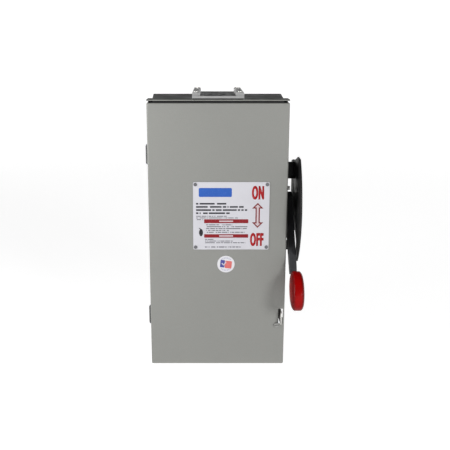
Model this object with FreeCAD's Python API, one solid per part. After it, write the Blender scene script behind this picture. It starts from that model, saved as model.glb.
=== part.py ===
import FreeCAD, Part
import math
import os

# Rainproof, side-operated, three-pole fusible disconnect switch in a sheet-steel box, in millimetres.
# +X is the handle side, -Y the door, +Z up. The origin is on the wall face, level with the middle of the
# door, midway between the wall bolts.

# ---- driving dimensions -------------------------------------------------------------------------------
DOOR_W = 204.6
DOOR_H = 402.0
DEPTH = 136.0
SHEET = 1.6
DOOR_SHEET = 1.5
DOOR_FLANGE = 29.0
DOOR_BEND = 2.4
BODY_SETBACK = 8.0
BACK_HALF = 102.2
SIDE_TAPER = 0.0625
TOP_GAP = 2.7
BOTTOM_LAP = 6.0
RIM = 16.0
LIP_DEPTH = 33.0
LIP_PROUD = 1.0
EAR_DROP = 7.0
WALL_BOLT_X = 60.0
WALL_BOLT_Z = 175.0
WALL_BOLT_R = 3.6

DOOR_HALF = DOOR_W / 2
DOOR_TOP = DOOR_H / 2
DOOR_FRONT = -DEPTH
DOOR_INNER = DOOR_FRONT + DOOR_SHEET
BODY_FRONT = DOOR_FRONT + BODY_SETBACK
BODY_TOP = DOOR_TOP + TOP_GAP
ROOF_TOP = BODY_TOP + SHEET
BODY_BOTTOM = -DOOR_TOP + BOTTOM_LAP

# ---- handle and switch axis ---------------------------------------------------------------------------
AXIS_Y = -64.0
AXIS_Z = 43.0
OFF_ANGLE = -45.0
SHAFT_R = 6.0
RUN_FIT = 0.05
HUB_R = 15.0
HUB_X = (102.0, 116.5)
ARM_X = (106.5, 116.5)
GRIP_REACH = 156.0
GRIP_X = (104.8, 125.4)
GRIP_HALF_LENGTH = 30.5
GRIP_HALF_DEPTH = 22.4
GRIP_ROUND = 6.5
GUARD_X = (118.0, 120.2)
GUARD_R = 105.0
PADLOCK_R = 4.2
PADLOCK_REACH = 91.0

# ---- switch interior ----------------------------------------------------------------------------------
POLES_X = (-62.0, -22.0, 18.0)
PAN_Y = (-14.0, -12.0)
PAN_HALF_X = 90.0
PAN_HALF_Z = 162.0
BASE_FRONT = -26.0
BASE_X = (-88.0, 44.0)
BLADE_T = 3.0
BLADE_W = 10.0
BLADE_HALF = 36.0
BLADE_OFF = 40.0
JAW_GAP = 3.2
JAW_T = 1.5
STRAP_T = 2.0
STRAP_HALF = 8.0
FUSE_R = 10.3
FUSE_L = 127.0
FUSE_TOP = -20.0
FUSE_Y = -50.0
FERRULE_L = 16.0
FRAME_X = ((62.0, 64.0), (86.0, 88.0))
CRANK_PIN_REACH = 16.0
CRANK_PIN_R = 3.0
ANCHOR_Z = AXIS_Z - 45.0

# ---- door furniture -----------------------------------------------------------------------------------
HINGE_X = -103.6
HINGE_Y = -102.6
HINGE_R = 4.0
HINGE_Z = (122.5, -131.5)
HINGE_H = 26.0
PLATE_X = (-36.5, 75.7)
PLATE_Z = (-15.3, 86.8)
PLATE_T = 0.8
STICKER = (12.3, -38.4, 13.0)
STAPLE_X = (95.6, 97.1)
STAPLE_Z = (-133.0, -111.0)
STAPLE_PROUD = 11.0
STAPLE_HOLE_R = 3.4
DOOR_BOLT = (90.3, -136.0)
DOOR_BOLT_R = 2.0

X_AXIS = FreeCAD.Vector(1, 0, 0)
Y_AXIS = FreeCAD.Vector(0, 1, 0)
Z_AXIS = FreeCAD.Vector(0, 0, 1)
AXIS = FreeCAD.Vector(0, AXIS_Y, AXIS_Z)
NODES = {}


# ---- shape helpers ------------------------------------------------------------------------------------
def block(x, y, z):
    """A box between the two limits given on each axis."""
    size = [max(pair) - min(pair) for pair in (x, y, z)]
    return Part.makeBox(*size, FreeCAD.Vector(min(x), min(y), min(z)))


def rod(radius, start, axis, length):
    return Part.makeCylinder(radius, length, FreeCAD.Vector(*start), axis)


def polygon(points, direction):
    wire = Part.makePolygon([FreeCAD.Vector(*p) for p in points] + [FreeCAD.Vector(*points[0])])
    return Part.Face(wire).extrude(direction)


def plan(points, z):
    """An outline seen from above, given thickness along Z."""
    return polygon([(x, y, z[0]) for x, y in points], Z_AXIS * (z[1] - z[0]))


def side(points, x):
    """An outline seen from the right, as distance forward and up from the switch axis."""
    return polygon([(x[0], AXIS_Y - u, AXIS_Z + w) for u, w in points], X_AXIS * (x[1] - x[0]))


def fuse(shapes):
    solid = shapes[0].fuse(shapes[1:])
    return solid.removeSplitter()


def group(shapes):
    return Part.makeCompound(shapes)


def mirror_x(shape):
    return shape.mirror(FreeCAD.Vector(0, 0, 0), X_AXIS)


def is_along(edge, axis):
    if len(edge.Vertexes) != 2:
        return False
    run = edge.Vertexes[1].Point - edge.Vertexes[0].Point
    return run.Length > 1e-6 and abs(run.normalize().dot(axis)) > 0.999


def round_edges(shape, axis, radius, keep=lambda centre: True):
    edges = [e for e in shape.Edges if is_along(e, axis) and keep(e.CenterOfMass)]
    return shape.makeFillet(radius, edges)


def turn(shape, degrees):
    """Turns a shape about the switch axis, forward towards up."""
    turned = shape.copy()
    turned.rotate(AXIS, X_AXIS * -1, degrees)
    return turned


def pan_head(radius, height, start, axis):
    """A low domed screw head whose flat seat is at start and which rises along the axis."""
    head = rod(radius, start, axis, height)
    crown = [e for e in head.Edges if abs((e.CenterOfMass - FreeCAD.Vector(*start)).dot(axis) - height) < 1e-6]
    return head.makeFillet(height * 0.45, [e for e in crown if e.Closed])


def screw(start, axis, head_r, head_h, shank_r, shank_l):
    """A screw seated at start, its head rising along the axis and its shank going the other way."""
    head = pan_head(head_r, head_h, start, axis)
    shank = rod(shank_r, start, axis * -1, shank_l)
    slot_across = Z_AXIS if abs(axis.z) < 0.5 else Y_AXIS
    slot_along = axis.cross(slot_across)
    corner = FreeCAD.Vector(*start) + axis * (head_h * 0.55)
    corner = corner - slot_along * head_r - slot_across * (head_r * 0.12)
    face = Part.makePolygon([corner, corner + slot_along * 2 * head_r,
                             corner + slot_along * 2 * head_r + slot_across * (head_r * 0.24),
                             corner + slot_across * (head_r * 0.24), corner])
    return head.fuse(shank).cut(Part.Face(face).extrude(axis * head_h))


def hex_head(across, height, start, axis):
    ref = Z_AXIS if abs(axis.z) < 0.5 else Y_AXIS
    other = axis.cross(ref)
    centre = FreeCAD.Vector(*start)
    corners = []
    for step in range(6):
        angle = math.radians(60 * step)
        corners.append(centre + (ref * math.cos(angle) + other * math.sin(angle)) * (across / math.sqrt(3)))
    face = Part.Face(Part.makePolygon(corners + [corners[0]]))
    return face.extrude(axis * height).common(rod(across * 0.56, start, axis, height))


def half_width(y):
    """Half the width of the body's outside at depth y: the sides spread a little towards the wall."""
    return BACK_HALF + SIDE_TAPER * y


def body_plan(inset, front):
    back = -inset
    return [(-half_width(back) + inset, back), (half_width(back) - inset, back),
            (half_width(front) - inset, front), (-half_width(front) + inset, front)]


def body_outer():
    outer = plan(body_plan(0.0, BODY_FRONT), (BODY_BOTTOM, BODY_TOP))
    return round_edges(outer, Z_AXIS, 3.0, lambda c: c.y > -1.0)


BODY_OUTER = body_outer()


def on_wall(shape):
    """Trims a bracket so that it seats on the outside of the sloping side wall."""
    return shape.cut(BODY_OUTER)


# ---- enclosure ----------------------------------------------------------------------------------------
KNOCKOUTS = ((Z_AXIS, (-45.0, -62.0, BODY_BOTTOM - 1), 14.0), (Z_AXIS, (0.0, -62.0, BODY_BOTTOM - 1), 17.0),
             (Z_AXIS, (45.0, -62.0, BODY_BOTTOM - 1), 14.0), (X_AXIS, (-110.0, -55.0, -150.0), 14.0),
             (X_AXIS, (90.0, -55.0, -150.0), 14.0))
KNOCKOUT_GAP = 0.35
HUB_HOLE = ((-25.0, 25.0), (-104.0, -32.0))
HUB_SCREWS = [(x, y) for x in (-31.5, 31.5) for y in (-121.0, -17.0)]
HUB_SCREW_R = 2.0
BUSH_R = 8.0
GUARD_FEET_Z = ((38.0, 64.0), (-76.0, -50.0))
FOOT_U = (-8.0, 12.0)
GUARD_BOLTS = [(AXIS_Y + 0.5, AXIS_Z + w) for w in (44.5, 57.5, -56.5, -69.5)]
GUARD_BOLT_R = 2.0
SIDE_BOLT = (-62.0, AXIS_Z + 20.5)


def knockout_rods(shrink):
    rods = []
    for axis, start, radius in KNOCKOUTS:
        length = 12.0 if axis is Z_AXIS else 20.0
        rods.append(rod(radius - shrink, start, axis, length))
    return rods


def shell_solid():
    inner = plan(body_plan(SHEET, BODY_FRONT + SHEET), (BODY_BOTTOM + SHEET, BODY_TOP + 1))
    opening_half = half_width(BODY_FRONT) - RIM
    opening = block((-opening_half, opening_half), (BODY_FRONT - 1, BODY_FRONT + SHEET + 1),
                    (BODY_BOTTOM + RIM, BODY_TOP - RIM))
    opening = round_edges(opening, Y_AXIS, 4.0)
    return BODY_OUTER.cut(inner).cut(opening)


SHELL = shell_solid()


def enclosure_shell():
    wall_bolts = [rod(WALL_BOLT_R, (x, -4, z), Y_AXIS, 6) for x in (-WALL_BOLT_X, WALL_BOLT_X)
                  for z in (-WALL_BOLT_Z, WALL_BOLT_Z)]
    shaft = rod(BUSH_R, (90, AXIS_Y, AXIS_Z), X_AXIS, 12)
    side_holes = [rod(GUARD_BOLT_R, (92, y, z), X_AXIS, 10) for y, z in GUARD_BOLTS + [SIDE_BOLT]]
    pan_holes = [rod(2.0, (x, -4, z), Y_AXIS, 4) for x, z in PAN_SCREWS]
    pan_holes.append(rod(DOOR_BOLT_R + 0.8, (DOOR_BOLT[0], BODY_FRONT - 1, DOOR_BOLT[1]), Y_AXIS, 4))
    return SHELL.cut(wall_bolts + [shaft] + side_holes + pan_holes + knockout_rods(0.0))


def knockouts():
    return group([SHELL.common(disc) for disc in knockout_rods(KNOCKOUT_GAP)])


def roof():
    """Flat sheet with a drip lip over the door; the lip's rear corners are turned down behind the door."""
    lip_front = DOOR_FRONT - LIP_PROUD
    lip_back = lip_front + LIP_DEPTH
    clip = 2.5
    right = [(BACK_HALF, 0), (half_width(lip_back), lip_back), (DOOR_HALF, lip_back),
             (DOOR_HALF, lip_front + clip), (DOOR_HALF - clip, lip_front)]
    left = [(-x, y) for x, y in reversed(right)]
    sheet = plan(right + left, (BODY_TOP, ROOF_TOP))
    sheet = round_edges(sheet, X_AXIS, 0.7, lambda c: c.y < lip_front + 1 and c.z > BODY_TOP + 1)
    ear = block((half_width(lip_back) + 0.1, DOOR_HALF), (lip_back - SHEET, lip_back),
                (BODY_TOP - EAR_DROP, ROOF_TOP))
    sheet = fuse([sheet, ear, mirror_x(ear)])
    sheet = sheet.cut(round_edges(block(*HUB_HOLE, (BODY_TOP - 1, ROOF_TOP + 1)), Z_AXIS, 12.0))
    return sheet.cut([rod(HUB_SCREW_R, (x, y, BODY_TOP - 1), Z_AXIS, 4) for x, y in HUB_SCREWS])


# ---- hub closing plate on the roof --------------------------------------------------------------------
HUB_HALF = 37.1
HUB_Y = (-134.0, -4.0)
HUB_GASKET_Z = (ROOF_TOP, ROOF_TOP + 1.7)
HUB_PLATE_Z = (HUB_GASKET_Z[1], HUB_GASKET_Z[1] + 2.3)
HUB_RAIL_W = 11.0
HUB_RAIL_Z = (HUB_PLATE_Z[1], HUB_PLATE_Z[1] + 6.0)


def hub_screw_holes(z):
    return [rod(HUB_SCREW_R, (x, y, z[0] - 1), Z_AXIS, z[1] - z[0] + 2) for x, y in HUB_SCREWS]


def hub_gasket():
    pad = block((-HUB_HALF + 1, HUB_HALF - 1), (HUB_Y[0] + 1.5, HUB_Y[1] - 1), HUB_GASKET_Z)
    pad = pad.cut(round_edges(block(*HUB_HOLE, (ROOF_TOP - 1, ROOF_TOP + 4)), Z_AXIS, 12.0))
    return pad.cut(hub_screw_holes(HUB_GASKET_Z))


def hub_plate():
    plate = block((-HUB_HALF, HUB_HALF), HUB_Y, HUB_PLATE_Z)
    plate = round_edges(plate, Z_AXIS, 2.0)
    return plate.cut(hub_screw_holes(HUB_PLATE_Z))


def hub_rails():
    """Two channels from front to back, joined by a folded strip across the front of the plate."""
    outer = block((HUB_HALF - HUB_RAIL_W, HUB_HALF), HUB_Y, HUB_RAIL_Z)
    outer = round_edges(outer, Y_AXIS, 1.2, lambda c: c.z > HUB_RAIL_Z[1] - 1)
    wall = 1.6
    hollow = block((HUB_HALF - HUB_RAIL_W + wall, HUB_HALF - wall), (HUB_Y[0] + wall, HUB_Y[1] - wall),
                   (HUB_RAIL_Z[0] - 1, HUB_RAIL_Z[1] - wall))
    rail = outer.cut(hollow).cut(hub_screw_holes(HUB_RAIL_Z))
    strip = block((-HUB_HALF, HUB_HALF), (HUB_Y[0] - SHEET, HUB_Y[0]),
                  (HUB_GASKET_Z[0] + 0.4, HUB_RAIL_Z[0] + 1.0))
    return fuse([rail, mirror_x(rail), strip])


def hub_screws():
    length = HUB_RAIL_Z[1] - BODY_TOP + 3.0
    return group([screw((x, y, HUB_RAIL_Z[1]), Z_AXIS, 3.6, 1.2, HUB_SCREW_R, length) for x, y in HUB_SCREWS])


# ---- door ---------------------------------------------------------------------------------------------
def door_panel():
    outer = block((-DOOR_HALF, DOOR_HALF), (DOOR_FRONT, DOOR_FRONT + DOOR_FLANGE), (-DOOR_TOP, DOOR_TOP))
    outer = round_edges(outer, Y_AXIS, DOOR_BEND)
    front_edges = [e for e in outer.Edges if abs(e.CenterOfMass.y - DOOR_FRONT) < 1e-6]
    outer = outer.makeFillet(DOOR_BEND - 0.3, front_edges)
    back = DOOR_FRONT + DOOR_FLANGE + 1
    inner = block((-DOOR_HALF + DOOR_SHEET, DOOR_HALF - DOOR_SHEET), (DOOR_INNER, back),
                  (-DOOR_TOP + DOOR_SHEET, DOOR_TOP - DOOR_SHEET))
    behind = (BODY_FRONT - 2.0, back)
    under_lip = block((-DOOR_HALF + DOOR_SHEET, DOOR_HALF - DOOR_SHEET), behind, (0, DOOR_TOP + 1))
    staple_way = block((DOOR_HALF - 5.0, DOOR_HALF + 1), behind, (STAPLE_Z[0] - 1.5, STAPLE_Z[1] + 1.5))
    slot = block((STAPLE_X[0] - 3.4, STAPLE_X[1] + 2.6), (DOOR_FRONT - 1, DOOR_INNER + 1),
                 (STAPLE_Z[0] - 1.2, STAPLE_Z[1] + 1.2))
    bolt = rod(DOOR_BOLT_R + RUN_FIT, (DOOR_BOLT[0], DOOR_FRONT - 1, DOOR_BOLT[1]), Y_AXIS, 4)
    rivets = [rod(RIVET_R, (x, DOOR_FRONT - 1, z), Y_AXIS, 4) for x, z in RIVETS]
    return outer.cut([inner, under_lip, staple_way]).cut([slot, bolt] + rivets)


def ring(half_x, z, y, width):
    outer = block((-half_x, half_x), y, z)
    hole = block((-half_x + width, half_x - width), (y[0] - 1, y[1] + 1), (z[0] + width, z[1] - width))
    return outer.cut(hole)


def door_gasket():
    half = half_width(BODY_FRONT) - RIM + 7.5
    z = (BODY_BOTTOM + RIM - 7.5, BODY_TOP - RIM + 7.5)
    return ring(half, z, (DOOR_INNER, BODY_FRONT - 0.3), 7.0)


RIVET_R = 1.6
RIVETS = [(x, z) for x in (PLATE_X[0] + 3.4, PLATE_X[1] - 3.4) for z in (PLATE_Z[0] + 3.6, PLATE_Z[1] - 3.6)]


def nameplate():
    plate = block(PLATE_X, (DOOR_FRONT - PLATE_T, DOOR_FRONT), PLATE_Z)
    plate = round_edges(plate, Y_AXIS, 2.0)
    return plate.cut([rod(RIVET_R, (x, DOOR_FRONT - 2, z), Y_AXIS, 3) for x, z in RIVETS])


def nameplate_rivets():
    seat = DOOR_FRONT - PLATE_T
    rivets = []
    for x, z in RIVETS:
        head = pan_head(2.6, 0.9, (x, seat, z), Y_AXIS * -1)
        rivets.append(head.fuse(rod(RIVET_R, (x, seat, z), Y_AXIS, PLATE_T + DOOR_SHEET + 1.0)))
    return group(rivets)


def round_sticker():
    x, z, radius = STICKER
    return rod(radius, (x, DOOR_FRONT - 0.3, z), Y_AXIS, 0.3)


def wiring_label():
    return block((-60.0, 40.0), (DOOR_INNER, DOOR_INNER + 0.3), (-140.0, -60.0))


def door_bolt():
    """Captive quarter-turn bolt: a slotted head outside, a collar behind the door and a plain tip."""
    x, z = DOOR_BOLT
    head = screw((x, DOOR_FRONT - 0.1, z), Y_AXIS * -1, 4.0, 2.4, DOOR_BOLT_R, DOOR_SHEET + 7.6)
    return head.fuse(rod(3.2, (x, DOOR_INNER + 0.2, z), Y_AXIS, 1.0))


def latch_clip():
    """Clip on the body's rim, with room round the bolt's tip for it to swing out with the door."""
    x, z = DOOR_BOLT
    clip = block((x - 4.0, x + 3.7), (BODY_FRONT - 1.0, BODY_FRONT), (z - 6.0, z + 6.0))
    return clip.cut(rod(DOOR_BOLT_R + 0.7, (x, BODY_FRONT - 2, z), Y_AXIS, 4))


def padlock_staple():
    tip = DOOR_FRONT - STAPLE_PROUD
    tab = block(STAPLE_X, (tip, -96.0), STAPLE_Z)
    tab = round_edges(tab, X_AXIS, 5.0, lambda c: c.y < tip + 1)
    foot = block((94.0, STAPLE_X[1] + 1.5), (-104.0, -84.0), STAPLE_Z)
    hole_z = (STAPLE_Z[0] + STAPLE_Z[1]) / 2
    hole = rod(STAPLE_HOLE_R, (90, tip + 5.6, hole_z), X_AXIS, 12)
    return on_wall(fuse([tab, foot])).cut(hole)




# ---- hinges -------------------------------------------------------------------------------------------
KNUCKLE_GAP = 0.5
PIN_R = 2.0
PIN_HEAD_R = 3.4
PIN_HEAD_H = 1.6


def knuckle(low, high):
    barrel = rod(HINGE_R, (HINGE_X, HINGE_Y, low), Z_AXIS, high - low)
    return barrel, rod(PIN_R + RUN_FIT, (HINGE_X, HINGE_Y, low - 1), Z_AXIS, high - low + 2)


def hinge_body_leaves():
    leaves = []
    for middle in HINGE_Z:
        low, high = middle - HINGE_H / 2, middle - KNUCKLE_GAP / 2
        barrel, bore = knuckle(low, high)
        arm = block((HINGE_X + 1.0, -95.0), (HINGE_Y + 1.2, HINGE_Y + 3.6), (low, high))
        pad = block((HINGE_X + 4.6, -94.0), (HINGE_Y + 1.2, -72.0), (low, high))
        leaves.append(fuse([barrel, on_wall(arm), on_wall(pad)]).cut(bore))
    return group(leaves)


def hinge_door_leaves():
    leaves = []
    inner = -DOOR_HALF + DOOR_SHEET
    for middle in HINGE_Z:
        low, high = middle + KNUCKLE_GAP / 2, middle + HINGE_H / 2
        barrel, bore = knuckle(low, high)
        arm = block((HINGE_X + 1.0, inner + 2.0), (DOOR_FRONT + DOOR_FLANGE + 0.1, HINGE_Y - 1.6), (low, high))
        pad = block((inner, inner + 2.0), (DOOR_INNER + 3.0, HINGE_Y - 1.6), (low, high))
        leaves.append(fuse([barrel, arm, pad]).cut(bore))
    return group(leaves)


def hinge_pins():
    pins = []
    for middle in HINGE_Z:
        low, high = middle - HINGE_H / 2, middle + HINGE_H / 2
        shank = rod(PIN_R, (HINGE_X, HINGE_Y, low - 0.3), Z_AXIS, high - low + 0.6)
        top = pan_head(PIN_HEAD_R, PIN_HEAD_H, (HINGE_X, HINGE_Y, high + 0.3), Z_AXIS)
        foot = pan_head(PIN_HEAD_R, PIN_HEAD_H, (HINGE_X, HINGE_Y, low - 0.3), Z_AXIS * -1)
        pins.append(fuse([shank, top, foot]))
    return group(pins)


# ---- mounting pan and its screws ----------------------------------------------------------------------
PAN_SCREWS = [(x, z) for x in (-80.0, 80.0) for z in (-152.0, 152.0)]
SPACER_R = 6.0


def mounting_pan():
    sheet = block((-PAN_HALF_X, PAN_HALF_X), PAN_Y, (-PAN_HALF_Z, PAN_HALF_Z))
    sheet = round_edges(sheet, Y_AXIS, 6.0)
    spacers = [rod(SPACER_R, (x, PAN_Y[1], z), Y_AXIS, -PAN_Y[1] - SHEET) for x, z in PAN_SCREWS]
    holes = [rod(2.0, (x, PAN_Y[0] - 1, z), Y_AXIS, 14) for x, z in PAN_SCREWS]
    return fuse([sheet] + spacers).cut(holes)


def pan_screw_wells():
    return [rod(6.5, (x, -70, z), Y_AXIS, 60) for x, z in PAN_SCREWS]


def pan_screws():
    return group([screw((x, PAN_Y[0], z), Y_AXIS * -1, 4.5, 2.6, 2.0, -PAN_Y[0]) for x, z in PAN_SCREWS])


# ---- line side ----------------------------------------------------------------------------------------
LINE_BASE_Z = (62.0, 160.0)
LINE_RIB_Z = (120.0, 160.0)
LINE_RIB_FRONT = -60.0
RIB_T = 3.0
LUG_HALF = 9.5
LUG_Y = (-48.0, -28.0)
WIRE_R = 5.5
LUG_SCREW_R = 4.5
LINE_LUG_Z = (126.0, 148.0)
LOAD_LUG_Z = (-172.0, -151.0)
SHIELD_SCREWS = [(x, z) for x in (BASE_X[0] + 2.6, BASE_X[1] - 2.6) for z in (130.0, 152.0)]


def ribs(z, front):
    middles = [(a + b) / 2 for a, b in zip(POLES_X, POLES_X[1:])]
    walls = [block((x - RIB_T / 2, x + RIB_T / 2), (front, BASE_FRONT), z) for x in middles]
    ends = [block((BASE_X[0], BASE_X[0] + 5.2), (front, BASE_FRONT), z),
            block((BASE_X[1] - 5.2, BASE_X[1]), (front, BASE_FRONT), z)]
    return walls + ends


def line_base():
    body = block(BASE_X, (BASE_FRONT, PAN_Y[0]), LINE_BASE_Z)
    solid = fuse([body] + ribs(LINE_RIB_Z, LINE_RIB_FRONT)).cut(pan_screw_wells())
    return solid.cut([rod(1.5, (x, LINE_RIB_FRONT - 1, z), Y_AXIS, 12) for x, z in SHIELD_SCREWS])


def jaw(x, z, strap_z, riser_z):
    """Two leaves that take a blade between them, on a strap that runs back to the moulded base."""
    leaf = JAW_GAP / 2
    leaves = [block((x + s * leaf, x + s * (leaf + JAW_T)), (AXIS_Y - 8, AXIS_Y + 8), z) for s in (-1, 1)]
    strap = block((x - STRAP_HALF, x + STRAP_HALF), (AXIS_Y - 7, BASE_FRONT), strap_z)
    riser = block((x - STRAP_HALF, x + STRAP_HALF), (BASE_FRONT - STRAP_T, BASE_FRONT), riser_z)
    return fuse(leaves + [strap, riser])


def line_jaws():
    top = AXIS_Z + BLADE_HALF + 5.0
    return group([jaw(x, (AXIS_Z + 24.0, top), (top, top + STRAP_T), (top, LINE_LUG_Z[1])) for x in POLES_X])


def lug(x, z):
    body = block((x - LUG_HALF, x + LUG_HALF), LUG_Y, z)
    body = round_edges(body, Z_AXIS, 2.5, lambda c: c.y < LUG_Y[0] + 1)
    wire = rod(WIRE_R, (x, LUG_Y[1] - 9.0, z[0] - 1), Z_AXIS, z[1] - z[0] + 2)
    thread = rod(LUG_SCREW_R, (x, LUG_Y[0] - 1, (z[0] + z[1]) / 2), Y_AXIS, 10)
    return body.cut([wire, thread])


def lug_screw(x, z):
    middle = (z[0] + z[1]) / 2
    stub = rod(LUG_SCREW_R, (x, LUG_Y[0] - 5.0, middle), Y_AXIS, 9.0)
    socket = hex_head(4.5, 3.0, (x, LUG_Y[0] - 6.0, middle), Y_AXIS)
    return stub.cut(socket)


def line_lugs():
    return group([lug(x, LINE_LUG_Z) for x in POLES_X])


def line_lug_screws():
    return group([lug_screw(x, LINE_LUG_Z) for x in POLES_X])


def load_lugs():
    return group([lug(x, LOAD_LUG_Z) for x in POLES_X])


def load_lug_screws():
    return group([lug_screw(x, LOAD_LUG_Z) for x in POLES_X])


def arc_chutes():
    hoods = []
    for x in POLES_X:
        outer = block((x - 15.0, x + 15.0), (-100.0, BASE_FRONT), (66.0, 96.0))
        inner = block((x - 13.0, x + 13.0), (-101.0, BASE_FRONT + 1), (65.0, 94.0))
        riser = block((x - STRAP_HALF - 0.3, x + STRAP_HALF + 0.3), (BASE_FRONT - STRAP_T - 0.3, BASE_FRONT + 1),
                      (93.0, 97.0))
        hoods.append(outer.cut([inner, riser]))
    return group(hoods)


def arc_plates():
    plates = []
    for x in POLES_X:
        for level in (70.0, 76.0, 82.0, 88.0):
            sheet = block((x - 13.0, x + 13.0), (-98.0, -75.0), (level, level + 1.2))
            plates.append(sheet.cut(block((x - 3.5, x + 3.5), (-94.0, -74.0), (level - 1, level + 3))))
    return group(plates)


def line_shield():
    sheet = block(BASE_X, (LINE_RIB_FRONT - 2.0, LINE_RIB_FRONT), (122.0, 158.0))
    sheet = round_edges(sheet, Y_AXIS, 3.0)
    return sheet.cut([rod(1.5, (x, LINE_RIB_FRONT - 3, z), Y_AXIS, 4) for x, z in SHIELD_SCREWS])


def shield_screws():
    seat = LINE_RIB_FRONT - 2.0
    return group([screw((x, seat, z), Y_AXIS * -1, 2.5, 1.6, 1.5, 9.0) for x, z in SHIELD_SCREWS])


# ---- load side ----------------------------------------------------------------------------------------
LOAD_BASE_Z = (-160.0, -1.0)
CLIP_L = 12.0
CLIP_T = 1.3
UPPER_CLIP_Z = FUSE_TOP - CLIP_L - 2.0
LOWER_CLIP_Z = FUSE_TOP - FUSE_L + 2.0


def load_base():
    body = block(BASE_X, (BASE_FRONT, PAN_Y[0]), LOAD_BASE_Z)
    return fuse([body] + ribs((-146.0, -22.0), -58.0)).cut(pan_screw_wells())


def load_jaws():
    foot = AXIS_Z - BLADE_HALF - 7.0
    return group([jaw(x, (foot, foot + 19.0), (foot - STRAP_T, foot), (-36.0, foot)) for x in POLES_X])


def fuse_clip(x, low):
    ring_outer = rod(FUSE_R + CLIP_T, (x, FUSE_Y, low), Z_AXIS, CLIP_L)
    ring_inner = rod(FUSE_R, (x, FUSE_Y, low - 1), Z_AXIS, CLIP_L + 2)
    mouth = plan([(x, FUSE_Y), (x - 16, FUSE_Y - 13), (x + 16, FUSE_Y - 13)], (low - 1, low + CLIP_L + 1))
    stem = block((x - 6.0, x + 6.0), (FUSE_Y + 8.0, BASE_FRONT - STRAP_T), (low, low + CLIP_L))
    return fuse([ring_outer, stem]).cut(ring_inner).cut(mouth)


def upper_fuse_clips():
    return group([fuse_clip(x, UPPER_CLIP_Z) for x in POLES_X])


def lower_fuse_clips():
    clips = []
    for x in POLES_X:
        strap = block((x - STRAP_HALF, x + STRAP_HALF), (BASE_FRONT - STRAP_T, BASE_FRONT),
                      (LOAD_LUG_Z[0], LOWER_CLIP_Z + CLIP_L))
        clips.append(fuse([fuse_clip(x, LOWER_CLIP_Z), strap]))
    return group(clips)


def fuse_tubes():
    return group([rod(FUSE_R - 0.8, (x, FUSE_Y, FUSE_TOP - FUSE_L + FERRULE_L), Z_AXIS, FUSE_L - 2 * FERRULE_L)
                  for x in POLES_X])


def fuse_ferrules():
    caps = []
    for x in POLES_X:
        for low in (FUSE_TOP - FERRULE_L, FUSE_TOP - FUSE_L):
            caps.append(rod(FUSE_R, (x, FUSE_Y, low), Z_AXIS, FERRULE_L))
    return group(caps)


def ground_bar():
    bar = block((52.0, 86.0), (-26.0, PAN_Y[0]), (-146.0, -132.0))
    wires = [rod(3.0, (x, -20.0, -147.0), Z_AXIS, 16) for x in GROUND_X]
    threads = [rod(2.5, (x, -27.0, -139.0), Y_AXIS, 5) for x in GROUND_X]
    return bar.cut(wires + threads)


GROUND_X = (58.0, 69.0, 80.0)


def ground_screws():
    screws = []
    for x in GROUND_X:
        screws.append(screw((x, -27.5, -139.0), Y_AXIS * -1, 4.0, 2.2, 2.5, 4.0))
    return group(screws)


# ---- rotor --------------------------------------------------------------------------------------------
ROTOR_X = (-80.0, 58.0)
ROTOR_R = 9.0
JOURNAL_R = 5.0
BEARING_X = (-88.0, -84.0)
DISC_X = (64.5, 66.5)
DISC_R = 22.0
LOST_MOTION = 40.0


def blade(x):
    bar = block((x - BLADE_T / 2, x + BLADE_T / 2), (AXIS_Y - BLADE_W / 2, AXIS_Y + BLADE_W / 2),
                (AXIS_Z - BLADE_HALF, AXIS_Z + BLADE_HALF))
    bar = round_edges(bar, X_AXIS, 3.0)
    return turn(bar, BLADE_OFF - 90.0)


def rotor_blades():
    return group([blade(x) for x in POLES_X])


def rotor_bar():
    bar = rod(ROTOR_R, (ROTOR_X[0], AXIS_Y, AXIS_Z), X_AXIS, ROTOR_X[1] - ROTOR_X[0])
    hubs = [rod(ROTOR_R + 3.5, (x - 7.0, AXIS_Y, AXIS_Z), X_AXIS, 14.0) for x in POLES_X]
    journal = rod(JOURNAL_R, (BEARING_X[0] - 1.0, AXIS_Y, AXIS_Z), X_AXIS, DISC_X[0] - BEARING_X[0] + 1.0)
    return fuse([bar, journal] + hubs).cut(rotor_blades())


def rotor_disc():
    """Drive disc whose curved slot lets the crank pin run free before it picks the rotor up."""
    disc = rod(DISC_R, (DISC_X[0], AXIS_Y, AXIS_Z), X_AXIS, DISC_X[1] - DISC_X[0])
    slot_half = CRANK_PIN_R + 0.3
    first = 45.0
    last = first + LOST_MOTION
    start = (DISC_X[0] - 1, AXIS_Y, AXIS_Z)
    depth = DISC_X[1] - DISC_X[0] + 2
    band = rod(CRANK_PIN_REACH + slot_half, start, X_AXIS, depth)
    band = band.cut(rod(CRANK_PIN_REACH - slot_half, start, X_AXIS, depth))
    edge = [(0.0, 0.0)]
    edge += [(60 * math.cos(math.radians(a)), 60 * math.sin(math.radians(a))) for a in (first, last)]
    band = band.common(side(edge, (DISC_X[0] - 1, DISC_X[1] + 1)))
    ends = [rod(slot_half, (DISC_X[0] - 1, *around(CRANK_PIN_REACH, a)), X_AXIS, depth) for a in (first, last)]
    return disc.cut([band] + ends)


def around(reach, degrees):
    """Y and Z of a point at this distance from the switch axis, this far up from straight forward."""
    angle = math.radians(degrees)
    return AXIS_Y - reach * math.cos(angle), AXIS_Z + reach * math.sin(angle)


def rotor_bearing():
    post = block(BEARING_X, (AXIS_Y - 10.0, PAN_Y[0]), (AXIS_Z - 11.0, AXIS_Z + 11.0))
    foot = block((BEARING_X[0], BEARING_X[1] + 12.0), (PAN_Y[0] - 2.5, PAN_Y[0]),
                 (AXIS_Z - 11.0, AXIS_Z + 11.0))
    bore = rod(JOURNAL_R + RUN_FIT, (BEARING_X[0] - 1, AXIS_Y, AXIS_Z), X_AXIS, 6)
    return fuse([post, foot]).cut(bore)


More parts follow.
